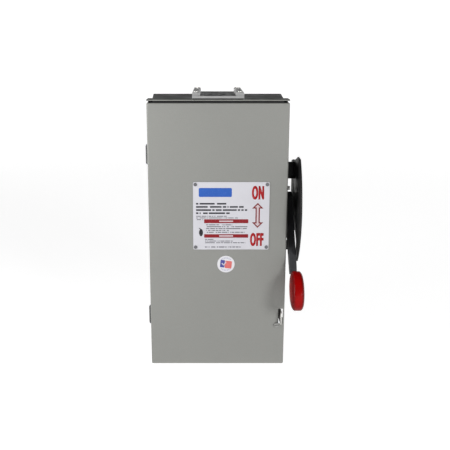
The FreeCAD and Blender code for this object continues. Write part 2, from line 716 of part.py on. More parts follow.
# ---- operating mechanism ------------------------------------------------------------------------------
FRAME_Y = -98.0
FRAME_Z = (-14.0, 92.0)
INTERLOCK_PIVOT = (-90.0, 74.0)
INTERLOCK_X = (67.0, 70.0)
INTERLOCK_PIN_R = 2.5
ROD_X = (68.5, 71.5)
ANCHOR_R = 3.0
CRANK_X = (74.0, 78.0)
MECHANISM_SCREWS = [(x, z) for x in (69.5, 80.5) for z in (-6.0, 84.0)]


def mechanism_frame():
    plates = [block(x, (FRAME_Y, PAN_Y[0]), FRAME_Z) for x in FRAME_X]
    plates = [round_edges(p, X_AXIS, 10.0, lambda c: c.y < FRAME_Y + 1) for p in plates]
    web = block((FRAME_X[0][0], FRAME_X[1][1]), (PAN_Y[0] - 2.0, PAN_Y[0]), FRAME_Z)
    bores = [rod(JOURNAL_R + RUN_FIT, (61, AXIS_Y, AXIS_Z), X_AXIS, 4),
             rod(SHAFT_R + RUN_FIT, (85, AXIS_Y, AXIS_Z), X_AXIS, 4),
             rod(INTERLOCK_PIN_R, (61, *INTERLOCK_PIVOT), X_AXIS, 4),
             rod(ANCHOR_R, (61, AXIS_Y, ANCHOR_Z), X_AXIS, 4)]
    holes = [rod(2.0, (x, PAN_Y[0] - 3, z), Y_AXIS, 4) for x, z in MECHANISM_SCREWS]
    return fuse(plates + [web]).cut(bores + holes)


def mechanism_screws():
    seat = PAN_Y[0] - 2.0
    return group([screw((x, seat, z), Y_AXIS * -1, 3.8, 2.2, 2.0, 2.0) for x, z in MECHANISM_SCREWS])


def pivot_pins():
    """Fixed pins for the interlock lever and for the foot of the toggle link."""
    lever = fuse([rod(INTERLOCK_PIN_R, (62.0, *INTERLOCK_PIVOT), X_AXIS, 10.0),
                  rod(4.5, (64.0, *INTERLOCK_PIVOT), X_AXIS, 2.8),
                  rod(4.0, (70.3, *INTERLOCK_PIVOT), X_AXIS, 1.7)])
    anchor = fuse([rod(ANCHOR_R, (62.0, AXIS_Y, ANCHOR_Z), X_AXIS, 11.5),
                   rod(5.0, (64.0, AXIS_Y, ANCHOR_Z), X_AXIS, 4.2),
                   rod(4.6, (71.8, AXIS_Y, ANCHOR_Z), X_AXIS, 1.7)])
    return group([lever, anchor])


LINK_LEAN = math.degrees(math.atan2(CRANK_PIN_REACH * math.sin(math.radians(45)),
                                    AXIS_Z - ANCHOR_Z + CRANK_PIN_REACH * math.cos(math.radians(45))))
LINK_LENGTH = 61.0
LINK_SLOT = 3.45
SPRING_TOP = 19.0


def lean_link(shape):
    leaned = shape.copy()
    leaned.rotate(FreeCAD.Vector(0, AXIS_Y, ANCHOR_Z), X_AXIS, LINK_LEAN)
    return leaned


def toggle_link():
    """Slotted rod from the anchor pin to the crank pin; it leans forward when the switch is off."""
    top = ANCHOR_Z + LINK_LENGTH
    bar = block(ROD_X, (AXIS_Y - 2.0, AXIS_Y + 2.0), (ANCHOR_Z, top - 12.0))
    eye = rod(6.5, (ROD_X[0], AXIS_Y, ANCHOR_Z), X_AXIS, 3.0)
    head = block(ROD_X, (AXIS_Y - 7.5, AXIS_Y + 7.5), (top - 14.0, top + 8.0))
    head = round_edges(head, X_AXIS, 4.0)
    slot = block((ROD_X[0] - 1, ROD_X[1] + 1), (AXIS_Y - LINK_SLOT, AXIS_Y + LINK_SLOT), (top - 6.0, top))
    slot_ends = [rod(LINK_SLOT, (ROD_X[0] - 1, AXIS_Y, z), X_AXIS, 5) for z in (top - 6.0, top)]
    bore = rod(ANCHOR_R + RUN_FIT, (ROD_X[0] - 1, AXIS_Y, ANCHOR_Z), X_AXIS, 5)
    collar = block((ROD_X[0] - 1.2, ROD_X[1] + 1.2), (AXIS_Y - 4.4, AXIS_Y + 4.4),
                   (ANCHOR_Z + SPRING_TOP + 0.2, ANCHOR_Z + SPRING_TOP + 1.7))
    return lean_link(fuse([bar, eye, head, collar]).cut([slot, bore] + slot_ends))


def toggle_spring():
    """Compression spring round the link, between its eye and its collar."""
    low, high = ANCHOR_Z + 6.9, ANCHOR_Z + SPRING_TOP
    wire_r, coil_r, turns = 0.8, 3.9, 4
    helix = Part.makeHelix((high - low - 2 * wire_r) / turns, high - low - 2 * wire_r, coil_r)
    start = Part.Circle(FreeCAD.Vector(coil_r, 0, 0), Y_AXIS, wire_r).toShape()
    coil = Part.Wire(helix).makePipeShell([Part.Wire(start)], True, True)
    middle = (ROD_X[0] + ROD_X[1]) / 2
    coil.translate(FreeCAD.Vector(middle, AXIS_Y, low + wire_r))
    return lean_link(coil)


def interlock_lever():
    """Forward-pointing lever whose nose rises in front of the door catch when the switch is on."""
    y, z = INTERLOCK_PIVOT
    outline = [(y + 7, z + 5), (y + 7, z - 5), (y - 10, z - 15), (y - 33, z - 15), (y - 36, z - 12),
               (y - 36, z + 1), (y - 33, z + 2), (y - 31, z + 1), (y - 31, z - 6), (y - 14, z - 6), (y - 6, z + 5)]
    lever = polygon([(INTERLOCK_X[0], a, b) for a, b in outline], X_AXIS * 3.0)
    lever = lever.cut(rod(INTERLOCK_PIN_R + RUN_FIT, (66, y, z), X_AXIS, 6))
    lever.rotate(FreeCAD.Vector(0, y, z), X_AXIS, INTERLOCK_DROP)
    return lever


INTERLOCK_DROP = 20.0
CATCH_X = (62.5, 70.3)


def door_catch():
    y, z = INTERLOCK_PIVOT
    foot = block(CATCH_X, (DOOR_INNER, DOOR_INNER + 1.6), (z + 6.0, z + 22.0))
    arm = block(CATCH_X, (DOOR_INNER, y - 24.0), (z + 4.4, z + 6.0))
    lip = block(CATCH_X, (y - 26.0, y - 24.0), (z - 4.0, z + 6.0))
    return fuse([foot, arm, lip])


# ---- handle -------------------------------------------------------------------------------------------
def shaft_bush():
    barrel = rod(BUSH_R, (93.0, AXIS_Y, AXIS_Z), X_AXIS, 8.5)
    flange = on_wall(rod(13.0, (96.0, AXIS_Y, AXIS_Z), X_AXIS, 5.5))
    return fuse([barrel, flange]).cut(rod(SHAFT_R + RUN_FIT, (92, AXIS_Y, AXIS_Z), X_AXIS, 12))


def drive_shaft():
    return rod(SHAFT_R, (CRANK_X[0], AXIS_Y, AXIS_Z), X_AXIS, 117.3 - CRANK_X[0])


def drive_crank():
    disc = rod(20.5, (CRANK_X[0], AXIS_Y, AXIS_Z), X_AXIS, CRANK_X[1] - CRANK_X[0])
    pin = rod(CRANK_PIN_R, (64.8, *around(CRANK_PIN_REACH, 45.0)), X_AXIS, CRANK_X[0] - 64.8)
    return fuse([disc, pin]).cut(drive_shaft())


def arm_outline():
    return [(8.0, 12.0), (60.0, 10.5), (118.0, 8.0), (126.0, 6.0), (126.0, -6.0), (118.0, -8.0), (60.0, -10.5),
            (8.0, -12.0)]


TANG_X = (109.0, 116.0)


def handle_arm():
    """Forged lever with its hub, and a narrow tang that the grip is moulded on."""
    arm = side(arm_outline(), ARM_X)
    tang = block(TANG_X, (AXIS_Y - 181.0, AXIS_Y - 120.0), (AXIS_Z - 5.0, AXIS_Z + 5.0))
    hub = rod(HUB_R, (HUB_X[0], AXIS_Y, AXIS_Z), X_AXIS, HUB_X[1] - HUB_X[0])
    lever = turn(fuse([arm, tang, hub]), OFF_ANGLE)
    padlock = rod(PADLOCK_R + 0.3, (100, *around(PADLOCK_REACH, OFF_ANGLE)), X_AXIS, 20)
    return lever.cut([padlock, rod(SHAFT_R, (100, AXIS_Y, AXIS_Z), X_AXIS, 20)])


def handle_grip():
    """Oval paddle with rounded rims, moulded on the lever's tang."""
    centre = FreeCAD.Vector(GRIP_X[0], AXIS_Y - GRIP_REACH, AXIS_Z)
    outline = Part.Ellipse(centre + Y_AXIS * GRIP_HALF_LENGTH, centre + Z_AXIS * GRIP_HALF_DEPTH, centre)
    paddle = Part.Face(Part.Wire(outline.toShape())).extrude(X_AXIS * (GRIP_X[1] - GRIP_X[0]))
    rims = [e for e in paddle.Edges if e.Closed and len(e.Vertexes) == 1]
    return turn(paddle.makeFillet(GRIP_ROUND, rims), OFF_ANGLE).cut(handle_arm())


# ---- guard --------------------------------------------------------------------------------------------
def guard_outline():
    arc = [math.radians(-47.0 + 94.0 * step / 16) for step in range(17)]
    front = [(GUARD_R * math.cos(a), GUARD_R * math.sin(a)) for a in arc]
    top = [(50.0, 77.5), (22.0, 69.0), (-14.0, 64.0), (-25.0, 56.0)]
    lower = [(-25.0, -66.0), (-15.0, -76.0), (12.0, -76.0), (18.0, -70.0), (18.0, -40.0), (44.0, -37.0),
             (60.0, -50.0), (58.0, -70.0), (60.0, -76.8)]
    return front + top + lower


def guard_plate():
    plate = side(guard_outline(), GUARD_X)
    padlocks = [rod(PADLOCK_R, (115, *around(PADLOCK_REACH, OFF_ANGLE)), X_AXIS, 8)]
    rivets = [rod(GUARD_RIVET_R, (115, AXIS_Y - u, AXIS_Z + w), X_AXIS, 8) for u, w in GUARD_RIVETS]
    return plate.cut(padlocks + rivets)


GUARD_RIVETS = [(2.0, w) for w in (44.0, 58.0, -56.0, -70.0)]
GUARD_RIVET_R = 2.0
BRACKET_T = 2.2


def guard_brackets():
    feet = []
    y_front = AXIS_Y - FOOT_U[1]
    y_back = AXIS_Y - FOOT_U[0]
    for low, high in GUARD_FEET_Z:
        z = (AXIS_Z + low, AXIS_Z + high)
        web = on_wall(block((96.0, GUARD_X[0]), (y_front, y_front + BRACKET_T), z))
        wall_x = half_width(y_front) + 2.6
        on_side = on_wall(block((96.0, wall_x), (y_front, y_back), z))
        on_plate = block((GUARD_X[0] - BRACKET_T, GUARD_X[0]), (y_front, y_back), z)
        foot = fuse([web, on_side, on_plate])
        holes = [rod(GUARD_BOLT_R, (92, y, zb), X_AXIS, 14) for y, zb in GUARD_BOLTS if z[0] < zb < z[1]]
        holes += [rod(GUARD_RIVET_R, (110, AXIS_Y - u, AXIS_Z + w), X_AXIS, 10) for u, w in GUARD_RIVETS
                  if low < w < high]
        feet.append(foot.cut(holes))
    feet[1] = feet[1].cut(rod(3.0, (111.3, y_front - 1, AXIS_Z - 58.5), Y_AXIS, 6))
    return group(feet)


def guard_bolts():
    bolts = []
    for y, z in GUARD_BOLTS:
        seat = half_width(AXIS_Y - FOOT_U[1]) + 2.6
        head = hex_head(7.0, 3.2, (seat, y, z), X_AXIS)
        bolts.append(head.fuse(rod(GUARD_BOLT_R, (92.5, y, z), X_AXIS, seat - 92.5)))
    return group(bolts)


def guard_rivets():
    rivets = []
    for u, w in GUARD_RIVETS:
        y, z = AXIS_Y - u, AXIS_Z + w
        head = pan_head(3.6, 1.4, (GUARD_X[1], y, z), X_AXIS)
        shank = rod(GUARD_RIVET_R, (GUARD_X[0] - BRACKET_T, y, z), X_AXIS, GUARD_X[1] - GUARD_X[0] + BRACKET_T)
        tail = rod(3.0, (GUARD_X[0] - BRACKET_T - 1.0, y, z), X_AXIS, 1.0)
        rivets.append(fuse([head, shank, tail]))
    return group(rivets)


def interlock_defeater():
    """Screw in the side wall that frees the door interlock with a tool."""
    y, z = SIDE_BOLT
    collar = on_wall(rod(4.4, (97.0, y, z), X_AXIS, 3.5))
    return fuse([collar, rod(GUARD_BOLT_R, (94.0, y, z), X_AXIS, 6.0), rod(3.0, (100.5, y, z), X_AXIS, 13.0)])


# ---- write the nodes ----------------------------------------------------------------------------------
BUILDERS = (
    enclosure_shell, knockouts, roof, hub_gasket, hub_plate, hub_rails, hub_screws, latch_clip, padlock_staple,
    hinge_body_leaves, hinge_pins, mounting_pan, pan_screws, line_base, line_jaws, line_lugs, line_lug_screws,
    arc_chutes, arc_plates, line_shield, shield_screws, load_base, load_jaws, upper_fuse_clips,
    lower_fuse_clips, fuse_tubes, fuse_ferrules, load_lugs, load_lug_screws, ground_bar, ground_screws,
    rotor_bearing, mechanism_frame, mechanism_screws, pivot_pins, shaft_bush, guard_plate, guard_brackets,
    guard_bolts, guard_rivets, interlock_defeater, door_panel, door_gasket, nameplate, nameplate_rivets,
    round_sticker, wiring_label, hinge_door_leaves, door_catch, door_bolt, rotor_bar, rotor_blades, rotor_disc,
    toggle_link, toggle_spring, interlock_lever, drive_shaft, drive_crank, handle_arm, handle_grip,
)

os.makedirs("parts", exist_ok=True)
for build in BUILDERS:
    shape = build()
    shape.exportStep("parts/%s.step" % build.__name__)
    print(build.__name__, len(shape.Solids), "valid" if shape.isValid() else "INVALID", round(shape.Volume, 1))
print(len(BUILDERS), "nodes")
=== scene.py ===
import math
import random

import bmesh
import bpy
from mathutils import Matrix, Vector


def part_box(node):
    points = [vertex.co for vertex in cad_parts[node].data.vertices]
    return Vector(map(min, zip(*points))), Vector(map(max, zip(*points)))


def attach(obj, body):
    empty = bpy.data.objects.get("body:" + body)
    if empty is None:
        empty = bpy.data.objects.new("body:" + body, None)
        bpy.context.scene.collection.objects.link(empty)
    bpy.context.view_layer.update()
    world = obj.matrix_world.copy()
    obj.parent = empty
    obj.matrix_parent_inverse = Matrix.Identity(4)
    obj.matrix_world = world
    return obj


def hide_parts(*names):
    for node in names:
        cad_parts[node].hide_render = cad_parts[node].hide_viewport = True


bl_info = {
    "name": "Rainproof disconnect switch finish",
    "version": (1, 0, 0),
    "blender": (4, 5, 0),
    "location": "3D View > Sidebar > Disconnect",
    "description": "Paints, prints and dresses a side-operated rainproof disconnect switch",
    "category": "Object",
}

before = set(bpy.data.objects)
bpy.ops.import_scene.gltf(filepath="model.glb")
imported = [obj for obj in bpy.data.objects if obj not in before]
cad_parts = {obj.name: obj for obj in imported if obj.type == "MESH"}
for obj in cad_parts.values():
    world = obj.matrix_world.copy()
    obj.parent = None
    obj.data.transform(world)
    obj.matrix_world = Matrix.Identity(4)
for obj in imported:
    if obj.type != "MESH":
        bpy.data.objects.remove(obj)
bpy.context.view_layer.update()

MM = 0.001
PLATE_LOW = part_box("nameplate")[0]
STICKER_LOW, STICKER_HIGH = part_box("round_sticker")
DOOR_LOW, DOOR_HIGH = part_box("door_panel")
ROOF_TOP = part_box("roof")[1].z
GRIP_LOW, GRIP_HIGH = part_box("handle_grip")
SHAFT_LOW, SHAFT_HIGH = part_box("drive_shaft")
LABEL_LOW, LABEL_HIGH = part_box("wiring_label")
FUSE_LOW, FUSE_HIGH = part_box("fuse_tubes")

WELD = 0.01 * MM  # points closer than this are merged
BEVEL_ANGLE = math.radians(40.0)  # edges sharper than this are blunted
OFF_ANGLE = math.radians(45.0)  # the lever's slope below level in the off position
# Near-black painted shade for the gap between the door's head and the roof lip.
GAP_SHADE_BLACK = (0.012, 0.012, 0.012)
BARE_METAL = (0.30, 0.29, 0.27)
RUST = (0.11, 0.035, 0.015)
PALE_INK = (0.50, 0.42, 0.44)


def colour(name, description, default):
    return bpy.props.FloatVectorProperty(
        name=name, description=description, default=default, subtype="COLOR", size=3, min=0.0, max=1.0
    )


def length(name, description, millimetres):
    return bpy.props.FloatProperty(
        name=name, description=description, default=millimetres * MM, min=0.0,
        subtype="DISTANCE", unit="LENGTH"
    )


class EnamelSettings(bpy.types.PropertyGroup):
    """Paint on the box, the guard and the lever."""

    box_grey: colour("Box grey", "Powder coat on the box and door", (0.202, 0.204, 0.190))
    guard_black: colour("Guard black", "Enamel on the lever guard", (0.0075, 0.0075, 0.008))
    lever_grey: colour("Lever grey", "Enamel on the lever arm", (0.036, 0.037, 0.040))
    orange_peel: length("Orange peel", "Height of the ripple in the powder coat", 0.02)
    soft_edge: length("Soft edge", "Radius that blunts the edges of the lever and guard", 0.5)


class GripSettings(bpy.types.PropertyGroup):
    """The moulded grip on the lever."""

    red: colour("Grip red", "Moulded colour of the grip", (0.32, 0.0022, 0.0022))
    reach: length("Reach", "Distance from the switch axis to the middle of the grip", 156.0)
    half_length: length("Half length", "Half the paddle's size along the lever", 30.4)
    half_depth: length("Half depth", "Half the paddle's size across the lever, in its plane of swing", 22.3)
    half_thickness: length("Half thickness", "Half the paddle's thickness at its middle", 10.25)
    rim: length("Rim", "Half the paddle's thickness at its rim", 4.8)


class NameplateSettings(bpy.types.PropertyGroup):
    """Print on the door's nameplate."""

    plate_white: colour("Plate white", "Ground colour of the nameplate", (0.485, 0.480, 0.515))
    legend_red: colour("Legend red", "Colour of the position legends", (0.32, 0.004, 0.006))
    band_red: colour("Band red", "Colour of the caution bands", (0.20, 0.004, 0.009))
    bar_blue: colour("Bar blue", "Colour of the heading bar", (0.018, 0.085, 0.36))
    letter_weight: length("Letter weight", "How far the position legends are thickened all round", 0.95)
    ink_thickness: length("Ink thickness", "How far the print stands off the plate", 0.06)


class StickerSettings(bpy.types.PropertyGroup):
    """Round inspection sticker under the nameplate."""

    navy: colour("Navy", "Colour of the upper mark", (0.055, 0.060, 0.25))
    coral: colour("Coral", "Colour of the lower mark", (0.56, 0.13, 0.12))


class StageSettings(bpy.types.PropertyGroup):
    """Floor, lights and camera."""

    floor_glow: bpy.props.FloatProperty(
        name="Floor glow", description="Light given off by the pale floor", default=0.87, min=0.0, max=4.0
    )
    left_power: bpy.props.FloatProperty(
        name="Left softbox", description="Power of the large softbox on the hinge side", default=2.0,
        min=0.0, subtype="POWER", unit="POWER"
    )
    right_power: bpy.props.FloatProperty(
        name="Right softbox", description="Power of the key softbox on the handle side", default=20.0,
        min=0.0, subtype="POWER", unit="POWER"
    )
    lens: bpy.props.FloatProperty(
        name="Lens", description="Focal length on a 36 mm sensor", default=56.0, min=10.0,
        subtype="DISTANCE_CAMERA"
    )
    tilt: bpy.props.FloatProperty(
        name="Tilt", description="How far the camera looks down", default=math.radians(14.17),
        subtype="ANGLE", unit="ROTATION"
    )


SETTINGS = {
    "enamel": EnamelSettings,
    "grip": GripSettings,
    "nameplate": NameplateSettings,
    "sticker": StickerSettings,
    "stage": StageSettings,
}


def settings(group):
    return getattr(bpy.context.scene, "disconnect_" + group)


# ---- modelling helpers --------------------------------------------------------------------------------
def deselect():
    for obj in bpy.context.selected_objects:
        obj.select_set(False)


def focus(obj):
    deselect()
    obj.select_set(True)
    bpy.context.view_layer.objects.active = obj


def start(add, name, **options):
    """Adds a primitive with nothing else selected and names it."""
    deselect()
    add(**options)
    obj = bpy.context.object
    obj.name = name
    obj.data.name = name
    return obj


def open_mesh(obj, kind="FACE", action="DESELECT"):
    """Opens a mesh for editing with none of it selected, or all of it when the action is SELECT."""
    focus(obj)
    bpy.ops.object.mode_set(mode="EDIT")
    bpy.ops.mesh.select_mode(type=kind)
    bpy.ops.mesh.select_all(action=action)


def pick_faces(obj, test):
    """Selects the faces whose centre and normal pass the test."""
    mesh = bmesh.from_edit_mesh(obj.data)
    for face in mesh.faces:
        face.select_set(test(face.calc_center_median(), face.normal))
    bmesh.update_edit_mesh(obj.data)


def pick_edges(obj, test):
    """Selects the edges whose two ends pass the test."""
    mesh = bmesh.from_edit_mesh(obj.data)
    for edge in mesh.edges:
        edge.select_set(test(edge.verts[0].co, edge.verts[1].co))
    bmesh.update_edit_mesh(obj.data)


def close_mesh():
    bpy.ops.object.mode_set(mode="OBJECT")


def push(offset):
    bpy.ops.mesh.extrude_region_move(TRANSFORM_OT_translate={"value": offset})


def grow(factors, centre):
    bpy.ops.transform.resize(value=factors, center_override=centre)


def settle(obj):
    """Puts the object's place, turn and scale into its mesh."""
    focus(obj)
    bpy.ops.object.transform_apply(location=True, rotation=True, scale=True)


def stretch_between(obj, low, high):
    """Stretches a flat one-metre piece to fill the box between two corners in X and Z."""
    obj.scale = (high.x - low.x, high.z - low.z, 1.0)
    obj.location = (low + high) / 2
    settle(obj)


def turn_about(obj, centre, degrees):
    """Turns flat print in its own plane about a point and puts the turn into its mesh."""
    settle(obj)
    turn = Matrix.Rotation(math.radians(degrees), 4, "Y")
    obj.matrix_world = Matrix.Translation(centre) @ turn @ Matrix.Translation(-centre)
    settle(obj)


def modifier(obj, kind, **options):
    focus(obj)
    added = obj.modifiers.new(kind.title(), kind)
    for key, value in options.items():
        setattr(added, key, value)
    bpy.ops.object.modifier_apply(modifier=added.name)


def blunt(obj, width, segments):
    """Bevels the sharp edges and shades the rest smooth."""
    modifier(obj, "BEVEL", width=width, segments=segments, limit_method="ANGLE", angle_limit=BEVEL_ANGLE)
    soften(obj)


def soften(obj, angle=35.0):
    focus(obj)
    bpy.ops.object.shade_smooth_by_angle(angle=math.radians(angle))


def dress(obj, *materials):
    obj.data.materials.clear()
    for material in materials:
        obj.data.materials.append(material)


def dress_nodes(material, *nodes):
    for node in nodes:
        dress(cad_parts[node], material)


def join(name, pieces):
    focus(pieces[0])
    for piece in pieces:
        piece.select_set(True)
    bpy.ops.object.join()
    joined = bpy.context.object
    joined.name = name
    joined.data.name = name
    return joined


def copy_of_node(node, name):
    """A merged copy of a CAD node's mesh, ready to be bevelled."""
    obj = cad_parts[node].copy()
    obj.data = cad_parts[node].data.copy()
    obj.name = name
    obj.data.name = name
    obj.parent = None
    obj.matrix_world = Matrix.Identity(4)
    bpy.context.scene.collection.objects.link(obj)
    open_mesh(obj, action="SELECT")
    bpy.ops.mesh.remove_doubles(threshold=WELD)
    bpy.ops.mesh.dissolve_limited(angle_limit=math.radians(1.0))
    close_mesh()
    return obj


# ---- material helpers ---------------------------------------------------------------------------------
class Finish:
    """A material under construction: its shader, and the few textures the finishes here share."""

    def __init__(self, name, base, roughness, metallic=0.0, coat=0.0, coat_roughness=0.1):
        self.material = bpy.data.materials.new(name)
        self.material.use_nodes = True
        self.nodes = self.material.node_tree.nodes
        self.links = self.material.node_tree.links
        self.shader = self.nodes["Principled BSDF"]
        self.base = tuple(base)[:3] + (1.0,)
        self.material.diffuse_color = self.base
        self.shader.inputs["Base Color"].default_value = self.base
        self.shader.inputs["Roughness"].default_value = roughness
        self.shader.inputs["Metallic"].default_value = metallic
        self.shader.inputs["Coat Weight"].default_value = coat
        self.shader.inputs["Coat Roughness"].default_value = coat_roughness
        self.coords = self.nodes.new("ShaderNodeTexCoord").outputs["Object"]

    def add(self, kind, **values):
        node = self.nodes.new(kind)
        for key, value in values.items():
            setattr(node, key, value)
        return node

    def mapped(self, scale):
        node = self.add("ShaderNodeMapping")
        node.inputs["Scale"].default_value = scale
        self.links.new(self.coords, node.inputs["Vector"])
        return node.outputs["Vector"]

    def noise(self, scale, detail, vector=None):
        node = self.add("ShaderNodeTexNoise")
        node.inputs["Scale"].default_value = scale
        node.inputs["Detail"].default_value = detail
        self.links.new(vector or self.coords, node.inputs["Vector"])
        return node.outputs["Fac"]

    def cells(self, scale, vector=None):
        node = self.add("ShaderNodeTexVoronoi")
        node.inputs["Scale"].default_value = scale
        self.links.new(vector or self.coords, node.inputs["Vector"])
        return node.outputs["Color"]

    def ranged(self, value, low, high, to_low=0.0, to_high=1.0):
        node = self.add("ShaderNodeMapRange")
        self.links.new(value, node.inputs["Value"])
        for key, number in (("From Min", low), ("From Max", high), ("To Min", to_low), ("To Max", to_high)):
            node.inputs[key].default_value = number
        return node.outputs["Result"]

    def maths(self, operation, first, second=0.0):
        node = self.add("ShaderNodeMath", operation=operation)
        for socket, value in zip(node.inputs, (first, second)):
            if isinstance(value, (int, float)):
                socket.default_value = value
            else:
                self.links.new(value, socket)
        return node.outputs["Value"]

    def axis(self, letter):
        node = self.add("ShaderNodeSeparateXYZ")
        self.links.new(self.coords, node.inputs["Vector"])
        return node.outputs[letter]

    def along(self, letter, none, full):
        """A mask that rises from none to full between two places on an axis."""
        return self.ranged(self.axis(letter), none, full)

    def both(self, first, second):
        """The product of two masks, or of a mask and a strength."""
        return self.maths("MULTIPLY", first, second)

    def tint(self, factor, other):
        """Mixes another colour over what the base colour holds so far."""
        node = self.add("ShaderNodeMix", data_type="RGBA")
        socket = self.shader.inputs["Base Color"]
        if socket.links:
            self.links.new(socket.links[0].from_socket, node.inputs[6])
        else:
            node.inputs[6].default_value = self.base
        node.inputs[7].default_value = tuple(other)[:3] + (1.0,)
        self.links.new(factor, node.inputs[0])
        self.links.new(node.outputs[2], socket)

    def gloss(self, value):
        self.links.new(value, self.shader.inputs["Roughness"])

    def bump(self, height, distance, strength=1.0):
        node = self.add("ShaderNodeBump")
        node.inputs["Distance"].default_value = distance
        node.inputs["Strength"].default_value = strength
        self.links.new(height, node.inputs["Height"])
        socket = self.shader.inputs["Normal"]
        if socket.links:
            self.links.new(socket.links[0].from_socket, node.inputs["Normal"])
        self.links.new(node.outputs["Normal"], socket)


def shade(base, factor):
    return tuple(channel * factor for channel in tuple(base)[:3])


def box_enamel(name, base):
    """Powder coat with orange peel, slow changes of tone and fine pale and dark specks."""
    enamel = settings("enamel")
    finish = Finish(name, base, 0.42, coat=0.12, coat_roughness=0.25)
    finish.tint(finish.ranged(finish.noise(9.0, 3.0), 0.35, 0.7, 0.0, 0.35), shade(base, 0.90))
    finish.tint(finish.ranged(finish.noise(900.0, 2.0), 0.45, 0.75, 0.0, 0.30), shade(base, 1.18))
    finish.tint(finish.ranged(finish.noise(2600.0, 1.0), 0.50, 0.80, 0.0, 0.35), shade(base, 0.72))
    finish.gloss(finish.ranged(finish.noise(35.0, 4.0), 0.3, 0.7, 0.36, 0.50))
    finish.bump(finish.noise(520.0, 2.0), enamel.orange_peel)
    return finish


def guard_enamel(name, base, coat):
    """Dipped enamel: semi-gloss, with fine runs and rubbed, dusty patches."""
    finish = Finish(name, base, 0.42, coat=coat, coat_roughness=0.2)
    finish.shader.inputs["Specular IOR Level"].default_value = 0.32
    finish.tint(finish.ranged(finish.noise(60.0, 5.0), 0.55, 0.78, 0.0, 0.5), shade(base, 2.0))
    finish.tint(finish.ranged(finish.noise(1500.0, 2.0), 0.62, 0.80, 0.0, 0.7), shade(base, 3.2))
    finish.gloss(finish.ranged(finish.noise(80.0, 4.0), 0.3, 0.7, 0.34, 0.54))
    finish.bump(finish.noise(300.0, 3.0), 0.04 * MM)
    return finish


def galvanised_zinc(name, base):
    """Hot-dip spangle: crystal cells that differ in tone and gloss."""
    finish = Finish(name, base, 0.42, metallic=0.75)
    crystals = finish.cells(170.0, finish.mapped((1.0, 0.7, 1.0)))
    tone = finish.add("ShaderNodeSeparateColor")
    finish.links.new(crystals, tone.inputs["Color"])
    finish.tint(finish.ranged(tone.outputs["Red"], 0.0, 1.0, 0.0, 0.55), shade(base, 0.62))
    finish.tint(finish.ranged(finish.noise(420.0, 4.0), 0.5, 0.8, 0.0, 0.5), shade(base, 1.25))
    finish.gloss(finish.ranged(tone.outputs["Green"], 0.0, 1.0, 0.34, 0.56))
    finish.bump(finish.noise(700.0, 2.0), 0.02 * MM)
    return finish


def zinc_plate(name, base, streak=(1.0, 14.0, 1.0), roughness=0.3):
    """Bright plate with drawn streaks and a little dulling."""
    finish = Finish(name, base, roughness, metallic=1.0)
    lines = finish.noise(240.0, 3.0, vector=finish.mapped(streak))
    finish.tint(finish.ranged(lines, 0.35, 0.7, 0.0, 0.4), shade(base, 0.70))
    finish.gloss(finish.ranged(finish.noise(160.0, 4.0), 0.3, 0.7, roughness - 0.07, roughness + 0.14))
    finish.bump(lines, 0.01 * MM)
    return finish


def moulding(name, base, roughness, grain=1400.0):
    """Moulded plastic or fibre with a fine sparked texture."""
    finish = Finish(name, base, roughness)
    finish.tint(finish.ranged(finish.noise(45.0, 4.0), 0.4, 0.75, 0.0, 0.5), shade(base, 1.5))
    finish.gloss(finish.ranged(finish.noise(60.0, 3.0), 0.3, 0.7, roughness - 0.07, roughness + 0.08))
    finish.bump(finish.noise(grain, 2.0), 0.03 * MM)
    return finish


def ink(name, base, wear=0.25):
    """Screen-printed ink: slightly uneven, with pinholes."""
    finish = Finish(name, base, 0.5)
    finish.shader.inputs["Specular IOR Level"].default_value = 0.25
    finish.tint(finish.ranged(finish.noise(700.0, 3.0), 0.58, 0.75, 0.0, wear), (0.6, 0.6, 0.62))
    finish.tint(finish.ranged(finish.noise(120.0, 3.0), 0.4, 0.7, 0.0, 0.4), shade(base, 0.8))
    finish.bump(finish.noise(2000.0, 1.0), 0.004 * MM)
    return finish


